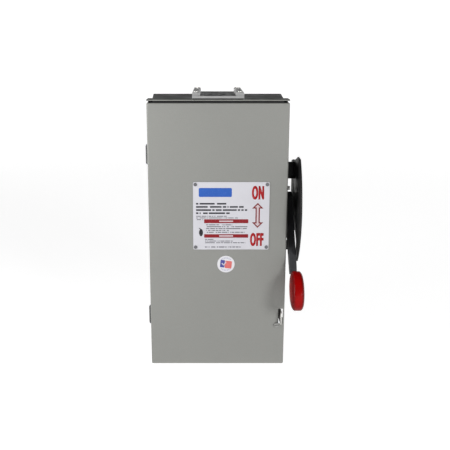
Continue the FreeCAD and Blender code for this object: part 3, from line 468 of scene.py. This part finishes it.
# ---- operators: finishes on the CAD pieces ------------------------------------------------------------
class DISCONNECT_OT_box_paint(bpy.types.Operator):
    """Powder-coats the box, roof, door and knockouts"""

    bl_idname = "disconnect.box_paint"
    bl_label = "Box paint"

    def execute(self, context):
        grey = settings("enamel").box_grey
        body = box_enamel("box_enamel", grey)
        # Painted shade: the front of the shell's top rim, behind the door's head, is tinted near-black to
        # stand in for the shade in the gap.
        rim = body.both(body.along("Z", DOOR_HIGH.z - 3.0 * MM, DOOR_HIGH.z - 2.0 * MM),
                        body.along("Y", DOOR_LOW.y + 20.0 * MM, DOOR_LOW.y + 19.0 * MM))
        body.tint(rim, GAP_SHADE_BLACK)
        dress_nodes(body.material, "enclosure_shell", "knockouts")

        # Painted shade: the roof takes a darker copy of the box grey, standing in for the weak light on
        # top. It is the same paint as the box.
        roof = box_enamel("roof_enamel", shade(grey, 0.66))
        roof.shader.inputs["Coat Weight"].default_value = 0.0
        roof.shader.inputs["Specular IOR Level"].default_value = 0.03
        streaks = roof.noise(26.0, 5.0, vector=roof.mapped((1.0, 0.25, 1.0)))
        roof.tint(roof.ranged(streaks, 0.45, 0.75, 0.0, 0.6), shade(grey, 0.45))
        patch = roof.both(roof.along("X", 36.0 * MM, 44.0 * MM), roof.along("X", 62.0 * MM, 56.0 * MM))
        rust = roof.both(roof.ranged(roof.noise(55.0, 5.0), 0.52, 0.62), patch)
        roof.tint(roof.both(rust, 0.7), RUST)
        # Painted shade: the roof's top face is darkened further, standing in for the shade on an unlit top.
        roof.tint(roof.both(roof.along("Z", ROOF_TOP - 0.3 * MM, ROOF_TOP), 0.6), shade(grey, 0.27))
        # Painted shade: the roof sheet more than about 1.3 mm below its top is tinted near-black, standing
        # in for the shade in the gap over the door.
        roof.tint(roof.along("Z", ROOF_TOP - 0.9 * MM, ROOF_TOP - 1.3 * MM), GAP_SHADE_BLACK)
        # Painted highlight: a thin band along the front edge of the roof lip is lightened, standing in for
        # the light on that edge.
        nose_highlight = roof.both(roof.along("Y", DOOR_LOW.y - 0.7 * MM, DOOR_LOW.y - 1.0 * MM),
                         roof.along("Z", ROOF_TOP - 1.2 * MM, ROOF_TOP - 0.9 * MM))
        roof.tint(roof.both(nose_highlight, 0.85), shade(grey, 1.7))
        dress_nodes(roof.material, "roof")

        door = box_enamel("door_enamel", grey)
        # Painted light: the door's lower edge is lightened, standing in for light thrown up from the floor.
        foot = door.along("Z", DOOR_LOW.z + 4.5 * MM, DOOR_LOW.z + 1.5 * MM)
        door.tint(door.both(foot, 0.35), shade(grey, 1.35))
        # Painted shade: the door's top bend is tinted near-black, standing in for the shade in the gap
        # under the roof lip.
        head = door.along("Z", DOOR_HIGH.z - 0.6 * MM, DOOR_HIGH.z - 0.2 * MM)
        door.tint(door.both(head, 0.9), GAP_SHADE_BLACK)
        rubbed = door.ranged(door.noise(240.0, 5.0), 0.56, 0.70)
        from_middle = door.maths("ABSOLUTE", door.axis("X"))
        side = door.ranged(from_middle, DOOR_HIGH.x - 1.8 * MM, DOOR_HIGH.x - 0.4 * MM)
        door.tint(door.both(door.both(rubbed, side), 0.22), BARE_METAL)
        dress_nodes(door.material, "door_panel")
        return {"FINISHED"}


class DISCONNECT_OT_hardware(bpy.types.Operator):
    """Finishes the hinges, screws, rivets, rails and other plated hardware"""

    bl_idname = "disconnect.hardware"
    bl_label = "Hardware"

    def execute(self, context):
        spangle = galvanised_zinc("galvanised_zinc", (0.62, 0.63, 0.64))
        dress_nodes(spangle.material, "mounting_pan", "mechanism_frame", "door_catch")
        rails = galvanised_zinc("rail_zinc", (0.80, 0.80, 0.79))
        rails.shader.inputs["Metallic"].default_value = 0.12
        # Painted shade: the front strip of the rails is darkened, and its lower part tinted near-black,
        # standing in for the shade under the hub plate's thin front edge.
        painted_front_shade = rails.along("Y", DOOR_LOW.y + 3.0 * MM, DOOR_LOW.y + 2.2 * MM)
        rails.tint(rails.both(painted_front_shade, 0.9), (0.21, 0.21, 0.21))
        lower = rails.both(painted_front_shade, rails.along("Z", ROOF_TOP + 2.4 * MM, ROOF_TOP + 1.8 * MM))
        rails.tint(lower, (0.035, 0.035, 0.035))
        dress_nodes(rails.material, "hub_rails")
        # Painted shade: the hub plate takes a near-black copy of the zinc, standing in for the shade on its
        # flat top.
        shaded_hub_zinc = galvanised_zinc("hub_shade_zinc", (0.10, 0.10, 0.10))
        dress_nodes(shaded_hub_zinc.material, "hub_plate")
        bright = zinc_plate("bright_zinc", (0.70, 0.69, 0.66))
        dress_nodes(bright.material, "hub_screws", "padlock_staple", "pan_screws", "line_lug_screws",
                    "load_lug_screws", "shield_screws", "mechanism_screws", "guard_bolts",
                    "interlock_defeater", "shaft_bush", "pivot_pins", "drive_shaft", "drive_crank",
                    "rotor_disc", "toggle_link", "interlock_lever")
        dark = zinc_plate("dark_steel", (0.16, 0.16, 0.17), roughness=0.42)
        dress_nodes(dark.material, "nameplate_rivets", "latch_clip", "toggle_spring", "arc_plates",
                    "hinge_pins")
        worn = zinc_plate("worn_zinc", (0.30, 0.30, 0.29), roughness=0.45)
        dress_nodes(worn.material, "door_bolt")
        # Painted shade: the hinge leaves are enamelled near-black, standing in for the shade on the hinges
        # beside the door.
        black = guard_enamel("hinge_shade_black", (0.055, 0.056, 0.055), 0.1)
        dress_nodes(black.material, "hinge_body_leaves", "hinge_door_leaves")
        green = zinc_plate("green_zinc", (0.05, 0.30, 0.10))
        dress_nodes(green.material, "ground_screws")
        tin = zinc_plate("tin_plate", (0.66, 0.66, 0.63), (14.0, 1.0, 1.0), 0.36)
        dress_nodes(tin.material, "line_lugs", "load_lugs", "ground_bar")
        return {"FINISHED"}


class DISCONNECT_OT_interior(bpy.types.Operator):
    """Finishes the mouldings, contacts, fuses and seals inside the box"""

    bl_idname = "disconnect.interior"
    bl_label = "Interior"

    def execute(self, context):
        black = moulding("phenolic_black", (0.018, 0.018, 0.019), 0.38)
        dress_nodes(black.material, "line_base", "load_base", "rotor_bar", "rotor_bearing")
        fibre = moulding("arc_fibre", (0.26, 0.13, 0.055), 0.62, 900.0)
        dress_nodes(fibre.material, "arc_chutes")
        copper = zinc_plate("bare_copper", (0.72, 0.34, 0.18), (1.0, 1.0, 12.0), 0.28)
        copper.tint(copper.ranged(copper.noise(70.0, 5.0), 0.52, 0.75, 0.0, 0.6), (0.25, 0.11, 0.06))
        dress_nodes(copper.material, "line_jaws", "load_jaws", "upper_fuse_clips", "lower_fuse_clips",
                    "rotor_blades")
        brass = zinc_plate("fuse_brass", (0.66, 0.46, 0.18), (1.0, 1.0, 10.0), 0.32)
        dress_nodes(brass.material, "fuse_ferrules")
        tube = moulding("fuse_fibre", (0.33, 0.075, 0.030), 0.55, 700.0)
        dress_nodes(tube.material, "fuse_tubes")
        seal = moulding("gasket_rubber", (0.016, 0.016, 0.016), 0.75, 2200.0)
        dress_nodes(seal.material, "door_gasket")
        cork = moulding("cork_seal", (0.060, 0.040, 0.028), 0.85, 1100.0)
        dress_nodes(cork.material, "hub_gasket")
        clear = Finish("clear_shield", (0.86, 0.90, 0.90), 0.08)
        clear.shader.inputs["Transmission Weight"].default_value = 0.92
        clear.shader.inputs["IOR"].default_value = 1.58
        clear.gloss(clear.ranged(clear.noise(90.0, 5.0), 0.35, 0.7, 0.05, 0.20))
        dress_nodes(clear.material, "line_shield")
        return {"FINISHED"}


# ---- operators: lever, grip and guard -----------------------------------------------------------------
class DISCONNECT_OT_guard(bpy.types.Operator):
    """Blunts the edges of the lever guard and its feet and enamels them black"""

    bl_idname = "disconnect.guard"
    bl_label = "Guard"

    def execute(self, context):
        enamel = settings("enamel")
        black = guard_enamel("guard_enamel", enamel.guard_black, 0.04)
        for node in ("guard_plate", "guard_brackets"):
            piece = copy_of_node(node, node + "_soft")
            blunt(piece, enamel.soft_edge, 2)
            dress(piece, black.material)
            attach(piece, "enclosure")
            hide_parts(node)
        rivets = guard_enamel("rivet_enamel", shade(enamel.guard_black, 1.6), 0.1)
        dress_nodes(rivets.material, "guard_rivets")
        return {"FINISHED"}


class DISCONNECT_OT_lever(bpy.types.Operator):
    """Blunts the edges of the forged lever and enamels it"""

    bl_idname = "disconnect.lever"
    bl_label = "Lever"

    def execute(self, context):
        enamel = settings("enamel")
        grey = guard_enamel("lever_enamel", enamel.lever_grey, 0.15)
        piece = copy_of_node("handle_arm", "lever_soft")
        blunt(piece, enamel.soft_edge * 1.6, 3)
        dress(piece, grey.material)
        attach(piece, "handle")
        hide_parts("handle_arm")
        return {"FINISHED"}


class DISCONNECT_OT_grip(bpy.types.Operator):
    """Models the red oval paddle: a blunt rim and two crowned faces"""

    bl_idname = "disconnect.grip"
    bl_label = "Grip"

    def execute(self, context):
        grip = settings("grip")
        piece = start(bpy.ops.mesh.primitive_cylinder_add, "grip_moulding", vertices=32, radius=1.0,
                      depth=2 * grip.rim, end_fill_type="NGON", rotation=(0.0, math.pi / 2, 0.0))
        settle(piece)
        crown = grip.half_thickness - grip.rim
        crown_steps = ((0.09, 0.52), (0.17, 0.25), (0.22, 0.14), (0.24, 0.07))  # inset, share of the crown
        for side in (1.0, -1.0):
            open_mesh(piece)
            pick_faces(piece, lambda c, n: n.x * side > 0.9)
            for inset, rise in crown_steps:
                bpy.ops.mesh.inset(thickness=inset)
                bpy.ops.transform.translate(value=(side * rise * crown, 0.0, 0.0))
            close_mesh()
        open_mesh(piece, "EDGE")
        pick_edges(piece, lambda a, b: min(a.yz.length, b.yz.length) > 0.99 and abs(a.x - b.x) < 1e-6)
        bpy.ops.mesh.bevel(offset=2.2 * MM, segments=2)
        bpy.ops.mesh.select_all(action="SELECT")
        grow((1.0, grip.half_length, grip.half_depth), (0.0, 0.0, 0.0))
        bpy.ops.mesh.normals_make_consistent(inside=False)
        close_mesh()
        modifier(piece, "SUBSURF", levels=2, render_levels=2)
        middle = (GRIP_LOW + GRIP_HIGH) / 2
        pivot = (SHAFT_LOW + SHAFT_HIGH) / 2
        piece.rotation_euler = (OFF_ANGLE, 0.0, 0.0)
        piece.location = (middle.x, pivot.y - math.cos(OFF_ANGLE) * grip.reach,
                          pivot.z - math.sin(OFF_ANGLE) * grip.reach)
        settle(piece)
        soften(piece, 60.0)
        red = Finish("grip_red", grip.red, 0.34)
        red.shader.inputs["Specular IOR Level"].default_value = 0.10
        red.tint(red.ranged(red.noise(38.0, 4.0), 0.42, 0.75, 0.0, 0.5), shade(grip.red, 0.66))
        red.tint(red.ranged(red.noise(800.0, 2.0), 0.60, 0.80, 0.0, 0.35), shade(grip.red, 1.5))
        # Painted shade: the rounded flanks between the rim and the faces are darkened, standing in for the
        # shade on the grip's sides.
        offset = red.maths("ABSOLUTE", red.maths("SUBTRACT", red.axis("X"), middle.x))
        band = red.both(red.ranged(offset, 3.6 * MM, 6.8 * MM), red.ranged(offset, 10.1 * MM, 9.0 * MM))
        red.tint(red.both(band, 0.72), shade(grip.red, 0.25))
        # Painted shade: the grip darkens towards its lower end, standing in for the shade on its underside.
        lower_end_shade = red.along("Z", middle.z - 4.0 * MM, middle.z - 27.0 * MM)
        red.tint(red.both(lower_end_shade, 0.70), shade(grip.red, 0.22))
        red.gloss(red.ranged(red.noise(70.0, 4.0), 0.3, 0.7, 0.20, 0.34))
        red.bump(red.noise(260.0, 3.0), 0.04 * MM)
        dress(piece, red.material)
        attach(piece, "handle")
        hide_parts("handle_grip")
        return {"FINISHED"}


# ---- operators: print ---------------------------------------------------------------------------------
def plate_point(across, up):
    """A point on the nameplate's face, from its left and bottom edges, in millimetres."""
    return Vector((PLATE_LOW.x + across * MM, PLATE_LOW.y, PLATE_LOW.z + up * MM))


def lay_on(piece, thickness, material, body="door"):
    """Gives flat print a little thickness and fixes it to its body."""
    modifier(piece, "SOLIDIFY", thickness=thickness, offset=0.0)
    dress(piece, material)
    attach(piece, body)


def panel(name, low, high):
    """A flat panel with clipped corners that faces the reader, between two corners in X and Z."""
    piece = start(bpy.ops.mesh.primitive_plane_add, name, size=1.0, rotation=(math.pi / 2, 0.0, 0.0))
    stretch_between(piece, low, high)
    corner = min(high.x - low.x, high.z - low.z) * 0.12
    open_mesh(piece, "VERT", "SELECT")
    bpy.ops.mesh.bevel(offset=corner, segments=2, affect="VERTICES")
    close_mesh()
    return piece


def greeked(name, low, high, lines, columns, seed, density=0.8):
    """Rows of broken bars that stand for small print: a row's number is the share of the width it fills."""
    rows = 2 * len(lines) - 1
    draw = random.Random(seed)
    kept = set()
    for row, share in enumerate(lines):
        for column in range(columns):
            if column < share * columns and draw.random() < density:
                kept.add((column, rows - 1 - 2 * row))
    piece = start(bpy.ops.mesh.primitive_grid_add, name, x_subdivisions=columns, y_subdivisions=rows,
                  size=1.0, rotation=(math.pi / 2, 0.0, 0.0))
    stretch_between(piece, low, high)
    open_mesh(piece)

    def is_gap(centre, normal):
        column = int((centre.x - low.x) / (high.x - low.x) * columns)
        row = int((centre.z - low.z) / (high.z - low.z) * rows)
        return (column, row) not in kept

    pick_faces(piece, is_gap)
    bpy.ops.mesh.delete(type="FACE")
    close_mesh()
    return piece


def legend(name, word, low, high, weight):
    """A heavy condensed word that fills the box between two corners in X and Z."""
    deselect()
    bpy.ops.object.text_add()
    text = bpy.context.object
    text.data.body = word
    text.data.space_character = 1.22
    text.data.resolution_u = 6
    bpy.ops.object.convert(target="CURVE")
    outline = bpy.context.object
    bpy.context.view_layer.update()
    xs = [corner[0] for corner in outline.bound_box]
    ys = [corner[1] for corner in outline.bound_box]
    wide = (high.x - low.x - 2 * weight) / (max(xs) - min(xs))
    tall = (high.z - low.z - 2 * weight) / (max(ys) - min(ys))
    outline.scale = (wide, tall, 1.0)
    focus(outline)
    bpy.ops.object.transform_apply(location=False, rotation=False, scale=True)
    outline.data.offset = weight
    bpy.ops.object.convert(target="MESH")
    piece = bpy.context.object
    piece.name = name
    piece.data.name = name
    piece.rotation_euler = (math.pi / 2, 0.0, 0.0)
    piece.location = (low.x + weight - min(xs) * wide, low.y, low.z + weight - min(ys) * tall)
    settle(piece)
    open_mesh(piece, action="SELECT")
    bpy.ops.mesh.remove_doubles(threshold=WELD)
    close_mesh()
    return piece


class DISCONNECT_OT_nameplate(bpy.types.Operator):
    """Prints the nameplate: ground, heading bar, position legends, caution bands and greeked small print"""

    bl_idname = "disconnect.nameplate"
    bl_label = "Nameplate"

    def execute(self, context):
        plate = settings("nameplate")
        thick = plate.ink_thickness
        ground = Finish("plate_white", plate.plate_white, 0.38, coat=0.2, coat_roughness=0.2)
        clouds = ground.ranged(ground.noise(30.0, 4.0), 0.45, 0.75, 0.0, 0.35)
        ground.tint(clouds, shade(plate.plate_white, 0.86))
        ground.gloss(ground.ranged(ground.noise(60.0, 4.0), 0.3, 0.7, 0.32, 0.46))
        ground.bump(ground.noise(900.0, 2.0), 0.01 * MM)
        dress_nodes(ground.material, "nameplate")
        red = ink("legend_red", plate.legend_red, 0.03)
        bands = ink("band_red", plate.band_red, 0.08)
        blue = ink("heading_blue", plate.bar_blue, 0.08)
        dark = ink("print_dark", (0.018, 0.018, 0.024), 0.1)
        grey = ink("print_grey", (0.13, 0.13, 0.145), 0.15)

        for name, word, low, high in (
            ("legend_on", "ON", plate_point(86.2, 76.0), plate_point(104.2, 96.6)),
            ("legend_off", "OFF", plate_point(84.4, 5.2), plate_point(104.6, 25.6)),
        ):
            lay_on(legend(name, word, low, high, plate.letter_weight), thick, red.material)
        for name, low, high, colour_of in (
            ("heading_bar", plate_point(8.4, 80.0), plate_point(57.0, 93.4), blue),
            ("caution_band_upper", plate_point(16.2, 40.4), plate_point(81.6, 46.4), bands),
            ("caution_band_lower", plate_point(16.2, 18.2), plate_point(81.6, 23.6), bands),
        ):
            lay_on(panel(name, low, high), thick, colour_of.material)
        description = greeked("description_lines", plate_point(4.4, 54.4), plate_point(79.6, 71.0),
                              (0.57, 0.92, 1.0, 0.64), 44, 11, 0.86)
        lay_on(description, thick, dark.material)
        for seed, (name, low, high, lines) in enumerate((
            ("rating_lines", plate_point(4.4, 45.2), plate_point(66.0, 51.6), (0.72, 1.0, 0.16)),
            ("caution_text_upper", plate_point(19.0, 25.8), plate_point(80.4, 38.6),
             (0.62, 1.0, 0.98, 0.55, 0.92)),
            ("caution_text_lower", plate_point(17.6, 9.8), plate_point(79.6, 16.2), (0.20, 0.66, 0.96)),
            ("foot_line", plate_point(16.2, 3.0), plate_point(79.0, 4.6), (0.86,)),
        ), 12):
            lay_on(greeked(name, low, high, lines, 60, seed), thick, grey.material)
        white = ink("band_print_white", PALE_INK, 0.1)
        for name, up in (("band_word_upper", 43.4), ("band_word_lower", 20.9)):
            word = greeked(name, plate_point(38.6, up - 1.0), plate_point(59.0, up + 1.0), (1.0,), 14, 16)
            word.location.y -= thick
            settle(word)
            lay_on(word, thick, white.material)
        return {"FINISHED"}


class DISCONNECT_OT_position_arrow(bpy.types.Operator):
    """Prints the double-headed arrow between the two position legends"""

    bl_idname = "disconnect.position_arrow"
    bl_label = "Position arrow"

    def execute(self, context):
        plate = settings("nameplate")
        centre = plate_point(95.2, 52.2)
        shaft = 3.2 * MM
        head = 8.4 * MM
        neck = 10.4 * MM
        tip = 18.9 * MM
        outline = 1.75 * MM
        piece = start(bpy.ops.mesh.primitive_plane_add, "position_arrow", size=1.0,
                      rotation=(math.pi / 2, 0.0, 0.0))
        piece.scale = (2 * shaft, 2 * neck, 1.0)
        settle(piece)
        open_mesh(piece, "EDGE")
        for way in (1.0, -1.0):
            bpy.ops.mesh.select_all(action="DESELECT")
            pick_edges(piece, lambda a, b: a.z * way > neck * 0.99 and b.z * way > neck * 0.99)
            push((0.0, 0.0, way * 0.02 * MM))
            grow((head / shaft, 1.0, 1.0), (0.0, 0.0, way * neck))
            push((0.0, 0.0, way * (tip - neck)))
            grow((0.002, 1.0, 1.0), (0.0, 0.0, way * tip))
        bpy.ops.mesh.select_all(action="SELECT")
        bpy.ops.mesh.remove_doubles(threshold=5 * WELD)
        bpy.ops.mesh.select_mode(type="FACE")
        bpy.ops.mesh.select_all(action="SELECT")
        bpy.ops.mesh.dissolve_limited(angle_limit=math.radians(1.0))
        bpy.ops.mesh.select_all(action="SELECT")
        bpy.ops.mesh.inset(thickness=outline, use_boundary=True, use_even_offset=True)
        close_mesh()
        line = ink("arrow_red", shade(plate.legend_red, 0.48), 0.02)
        fill = ink("arrow_fill", PALE_INK, 0.1)
        dress(piece, line.material, fill.material)
        for polygon in piece.data.polygons:
            polygon.material_index = 1 if polygon.select else 0
        piece.location = centre
        settle(piece)
        modifier(piece, "SOLIDIFY", thickness=plate.ink_thickness, offset=0.0)
        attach(piece, "door")
        return {"FINISHED"}


class DISCONNECT_OT_pictogram(bpy.types.Operator):
    """Prints the small dark pictogram beside the caution text: a cable end and its loose strand"""

    bl_idname = "disconnect.pictogram"
    bl_label = "Pictogram"

    def execute(self, context):
        thick = settings("nameplate").ink_thickness
        centre = plate_point(11.6, 26.0)
        piece = start(bpy.ops.mesh.primitive_circle_add, "pictogram", vertices=24, radius=1.0,
                      fill_type="NGON", rotation=(math.pi / 2, 0.0, 0.0))
        piece.scale = (2.9 * MM, 5.6 * MM, 1.0)
        piece.location = centre
        settle(piece)
        open_mesh(piece, "EDGE")
        top = centre + Vector((-0.9 * MM, 0.0, 5.1 * MM))
        pick_edges(piece, lambda a, b: ((a + b) / 2 - top).length < 0.75 * MM)
        for across, up in ((-1.0, 1.4), (-1.6, 1.2), (-1.9, 0.2)):
            push((across * MM, 0.0, up * MM))
            grow((0.8, 1.0, 0.8), tuple(top))
        close_mesh()
        dark = ink("pictogram_black", (0.012, 0.012, 0.014), 0.1)
        lay_on(piece, thick, dark.material)
        return {"FINISHED"}


class DISCONNECT_OT_round_sticker(bpy.types.Operator):
    """Prints the round inspection sticker: a navy and a coral block, a white check stroke, a broken ring"""

    bl_idname = "disconnect.round_sticker"
    bl_label = "Round sticker"

    def execute(self, context):
        sticker = settings("sticker")
        thick = settings("nameplate").ink_thickness
        film = Finish("sticker_white", (0.58, 0.575, 0.60), 0.3, coat=0.15)
        film.tint(film.ranged(film.noise(120.0, 4.0), 0.5, 0.8, 0.0, 0.3), (0.48, 0.48, 0.50))
        film.bump(film.noise(260.0, 3.0), 0.03 * MM)
        dress_nodes(film.material, "round_sticker")
        centre = (STICKER_LOW + STICKER_HIGH) / 2
        centre.y = STICKER_LOW.y
        navy = ink("sticker_navy", sticker.navy, 0.15)
        coral = ink("sticker_coral", sticker.coral, 0.3)
        ring = ink("sticker_grey", (0.34, 0.34, 0.46), 0.2)

        def at(across, up):
            return centre + Vector((across * MM, 0.0, up * MM))

        for name, low, high, colour_of in (
            ("sticker_left_block", at(-8.6, -5.6), at(-1.8, 6.0), navy),
            ("sticker_right_block", at(-1.4, -6.2), at(8.8, 5.4), coral),
        ):
            mark = panel(name, low, high)
            turn_about(mark, centre, 6.0)
            lay_on(mark, thick, colour_of.material)
        film_white = ink("sticker_tick_white", (0.52, 0.50, 0.52), 0.1)
        strokes = []
        for low, high, lean in (
            (at(-5.6, -1.6), at(-4.2, 2.0), -42.0),
            (at(-2.4, -2.6), at(-1.0, 4.4), 38.0),
        ):
            stroke = panel("sticker_check", low, high)
            stroke.location.y -= thick
            turn_about(stroke, (low + high) / 2, lean)
            strokes.append(stroke)
        lay_on(join("sticker_check", strokes), thick, film_white.material)

        ticks = []
        first = panel("sticker_ticks", at(-0.55, 8.6), at(0.55, 10.8))
        for step in range(-3, 4):
            for opposite in (0.0, 180.0):
                copy = first.copy()
                copy.data = first.data.copy()
                context.scene.collection.objects.link(copy)
                turn_about(copy, centre, opposite + step * 14.0)
                ticks.append(copy)
        bpy.data.objects.remove(first)
        lay_on(join("sticker_ticks", ticks), thick, ring.material)
        return {"FINISHED"}


class DISCONNECT_OT_inside_print(bpy.types.Operator):
    """Prints the wiring label inside the door and the bands on the fuses"""

    bl_idname = "disconnect.inside_print"
    bl_label = "Inside print"

    def execute(self, context):
        thick = settings("nameplate").ink_thickness
        paper = moulding("label_paper", (0.62, 0.61, 0.54), 0.7, 1800.0)
        dress_nodes(paper.material, "wiring_label")
        dark = ink("label_ink", (0.05, 0.05, 0.06), 0.3)
        back = LABEL_HIGH.y + thick

        def at(across, up):
            return Vector((LABEL_LOW.x + across * MM, back, LABEL_LOW.z + up * MM))

        table = greeked("wiring_table", at(6.0, 8.0), at(60.0, 54.0),
                        (1.0, 0.9, 1.0, 0.7, 1.0, 0.85, 1.0, 0.6), 36, 21)
        lay_on(table, thick, dark.material)
        heading = greeked("wiring_heading", at(6.0, 62.0), at(92.0, 70.0), (1.0, 0.7), 30, 22)
        lay_on(heading, thick, dark.material)
        for index, across in enumerate((68.0, 77.0, 86.0), 1):
            pole = panel("wiring_pole_%d" % index, at(across - 0.5, 8.0), at(across + 0.5, 54.0))
            lay_on(pole, thick, dark.material)

        cream = moulding("fuse_band", (0.60, 0.55, 0.42), 0.6, 1500.0)
        radius = (FUSE_HIGH.y - FUSE_LOW.y) / 2
        depth = (FUSE_HIGH.y + FUSE_LOW.y) / 2
        first_x = FUSE_LOW.x + radius
        last_x = FUSE_HIGH.x - radius
        middle_z = (FUSE_LOW.z + FUSE_HIGH.z) / 2
        for index, x in enumerate((first_x, (first_x + last_x) / 2, last_x), 1):
            band = start(bpy.ops.mesh.primitive_cylinder_add, "fuse_band_%d" % index, vertices=40,
                         radius=radius + 0.1 * MM, depth=46.0 * MM, end_fill_type="NOTHING",
                         location=(x, depth, middle_z))
            settle(band)
            open_mesh(band)
            pick_faces(band, lambda c, n: n.y > 0.86)
            bpy.ops.mesh.delete(type="FACE")
            close_mesh()
            modifier(band, "SOLIDIFY", thickness=0.15 * MM, offset=1.0)
            soften(band)
            dress(band, cream.material)
            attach(band, "enclosure")
        return {"FINISHED"}


# ---- operator: stage ----------------------------------------------------------------------------------
FLOOR_DROP = 0.6 * MM  # the floor lies this far under the door's lower edge
FLOOR_RADIUS = 3.0
FLOOR_RIM = ((0.05, 1.05), (0.16, 1.06), (0.24, 1.03), (0.36, 1.01), (0.20, 1.0))  # rise, spread
CAMERA_PLACE = (-0.01156, -1.1414, 0.276)
CAMERA_SHIFT = 0.0333
SENSOR_WIDTH = 36.0
AIR_GREY = (0.03, 0.03, 0.031, 1.0)
LEFT_SOFTBOX = {"size": (0.16, 0.50), "place": (-0.42, -0.31, 0.22), "target": (-0.06, -0.13, 0.10)}
RIGHT_SOFTBOX = {"size": (0.44, 0.44), "place": (1.03, -1.80, 0.59), "target": (0.04, -0.15, 0.0)}


def softbox(name, power, size, place, target):
    """An oblong lamp that faces a target."""
    deselect()
    bpy.ops.object.light_add(type="AREA", location=place)
    lamp = bpy.context.object
    lamp.name = name
    lamp.data.shape = "RECTANGLE"
    lamp.data.size, lamp.data.size_y = size
    lamp.data.energy = power
    lamp.rotation_euler = (Vector(target) - Vector(place)).to_track_quat("-Z", "Y").to_euler()


class DISCONNECT_OT_stage(bpy.types.Operator):
    """Sets out the pale floor, the softboxes and the camera"""

    bl_idname = "disconnect.stage"
    bl_label = "Stage"

    def execute(self, context):
        stage = settings("stage")
        floor = start(bpy.ops.mesh.primitive_circle_add, "pale_floor", vertices=64, radius=FLOOR_RADIUS,
                      fill_type="NGON", location=(0.0, 0.0, DOOR_LOW.z - FLOOR_DROP))
        settle(floor)
        open_mesh(floor, action="SELECT")
        bpy.ops.mesh.inset(thickness=0.3 * FLOOR_RADIUS)
        close_mesh()
        open_mesh(floor, "EDGE")
        pick_edges(floor, lambda a, b: min(a.length, b.length) > FLOOR_RADIUS * 0.997)
        for rise, spread in FLOOR_RIM:
            push((0.0, 0.0, rise))
            grow((spread, spread, 1.0), (0.0, 0.0, 0.0))
        close_mesh()
        soften(floor, 60.0)
        pale = Finish("pale_floor", (0.45, 0.45, 0.45), 0.8)
        pale.shader.inputs["Emission Color"].default_value = (1.0, 1.0, 1.0, 1.0)
        pale.shader.inputs["Emission Strength"].default_value = stage.floor_glow
        pale.bump(pale.noise(3.0, 2.0), 0.5 * MM)
        dress(floor, pale.material)

        softbox("left_softbox", stage.left_power, **LEFT_SOFTBOX)
        softbox("right_softbox", stage.right_power, **RIGHT_SOFTBOX)

        world = bpy.data.worlds.new("studio_air")
        world.use_nodes = True
        world.node_tree.nodes["Background"].inputs["Color"].default_value = AIR_GREY
        context.scene.world = world

        camera = bpy.data.objects.new("camera", bpy.data.cameras.new("camera"))
        context.scene.collection.objects.link(camera)
        camera.data.lens = stage.lens
        camera.data.sensor_width = SENSOR_WIDTH
        camera.data.shift_x = CAMERA_SHIFT
        camera.location = CAMERA_PLACE
        camera.rotation_euler = (math.pi / 2 - stage.tilt, 0.0, 0.0)
        camera.data.clip_end = 30.0
        context.scene.camera = camera
        context.scene.view_settings.view_transform = "Standard"
        return {"FINISHED"}


OPERATORS = (
    DISCONNECT_OT_box_paint,
    DISCONNECT_OT_hardware,
    DISCONNECT_OT_interior,
    DISCONNECT_OT_guard,
    DISCONNECT_OT_lever,
    DISCONNECT_OT_grip,
    DISCONNECT_OT_nameplate,
    DISCONNECT_OT_position_arrow,
    DISCONNECT_OT_pictogram,
    DISCONNECT_OT_round_sticker,
    DISCONNECT_OT_inside_print,
    DISCONNECT_OT_stage,
)


class DISCONNECT_PT_pieces(bpy.types.Panel):
    """Lists the pieces in the order they are made"""

    bl_idname = "DISCONNECT_PT_pieces"
    bl_label = "Disconnect switch"
    bl_space_type = "VIEW_3D"
    bl_region_type = "UI"
    bl_category = "Disconnect"

    def draw(self, context):
        for operator in OPERATORS:
            self.layout.operator(operator.bl_idname)
        for group, holder in SETTINGS.items():
            column = self.layout.column(heading=group.title())
            for name in holder.__annotations__:
                column.prop(settings(group), name)


def register():
    for group, holder in SETTINGS.items():
        bpy.utils.register_class(holder)
        setattr(bpy.types.Scene, "disconnect_" + group, bpy.props.PointerProperty(type=holder))
    for operator in OPERATORS:
        bpy.utils.register_class(operator)
    bpy.utils.register_class(DISCONNECT_PT_pieces)


def unregister():
    bpy.utils.unregister_class(DISCONNECT_PT_pieces)
    for operator in reversed(OPERATORS):
        bpy.utils.unregister_class(operator)
    for group, holder in SETTINGS.items():
        delattr(bpy.types.Scene, "disconnect_" + group)
        bpy.utils.unregister_class(holder)


def main():
    register()
    for operator in OPERATORS:
        family, name = operator.bl_idname.split(".")
        getattr(getattr(bpy.ops, family), name)()


if __name__ == "__main__":
    main()
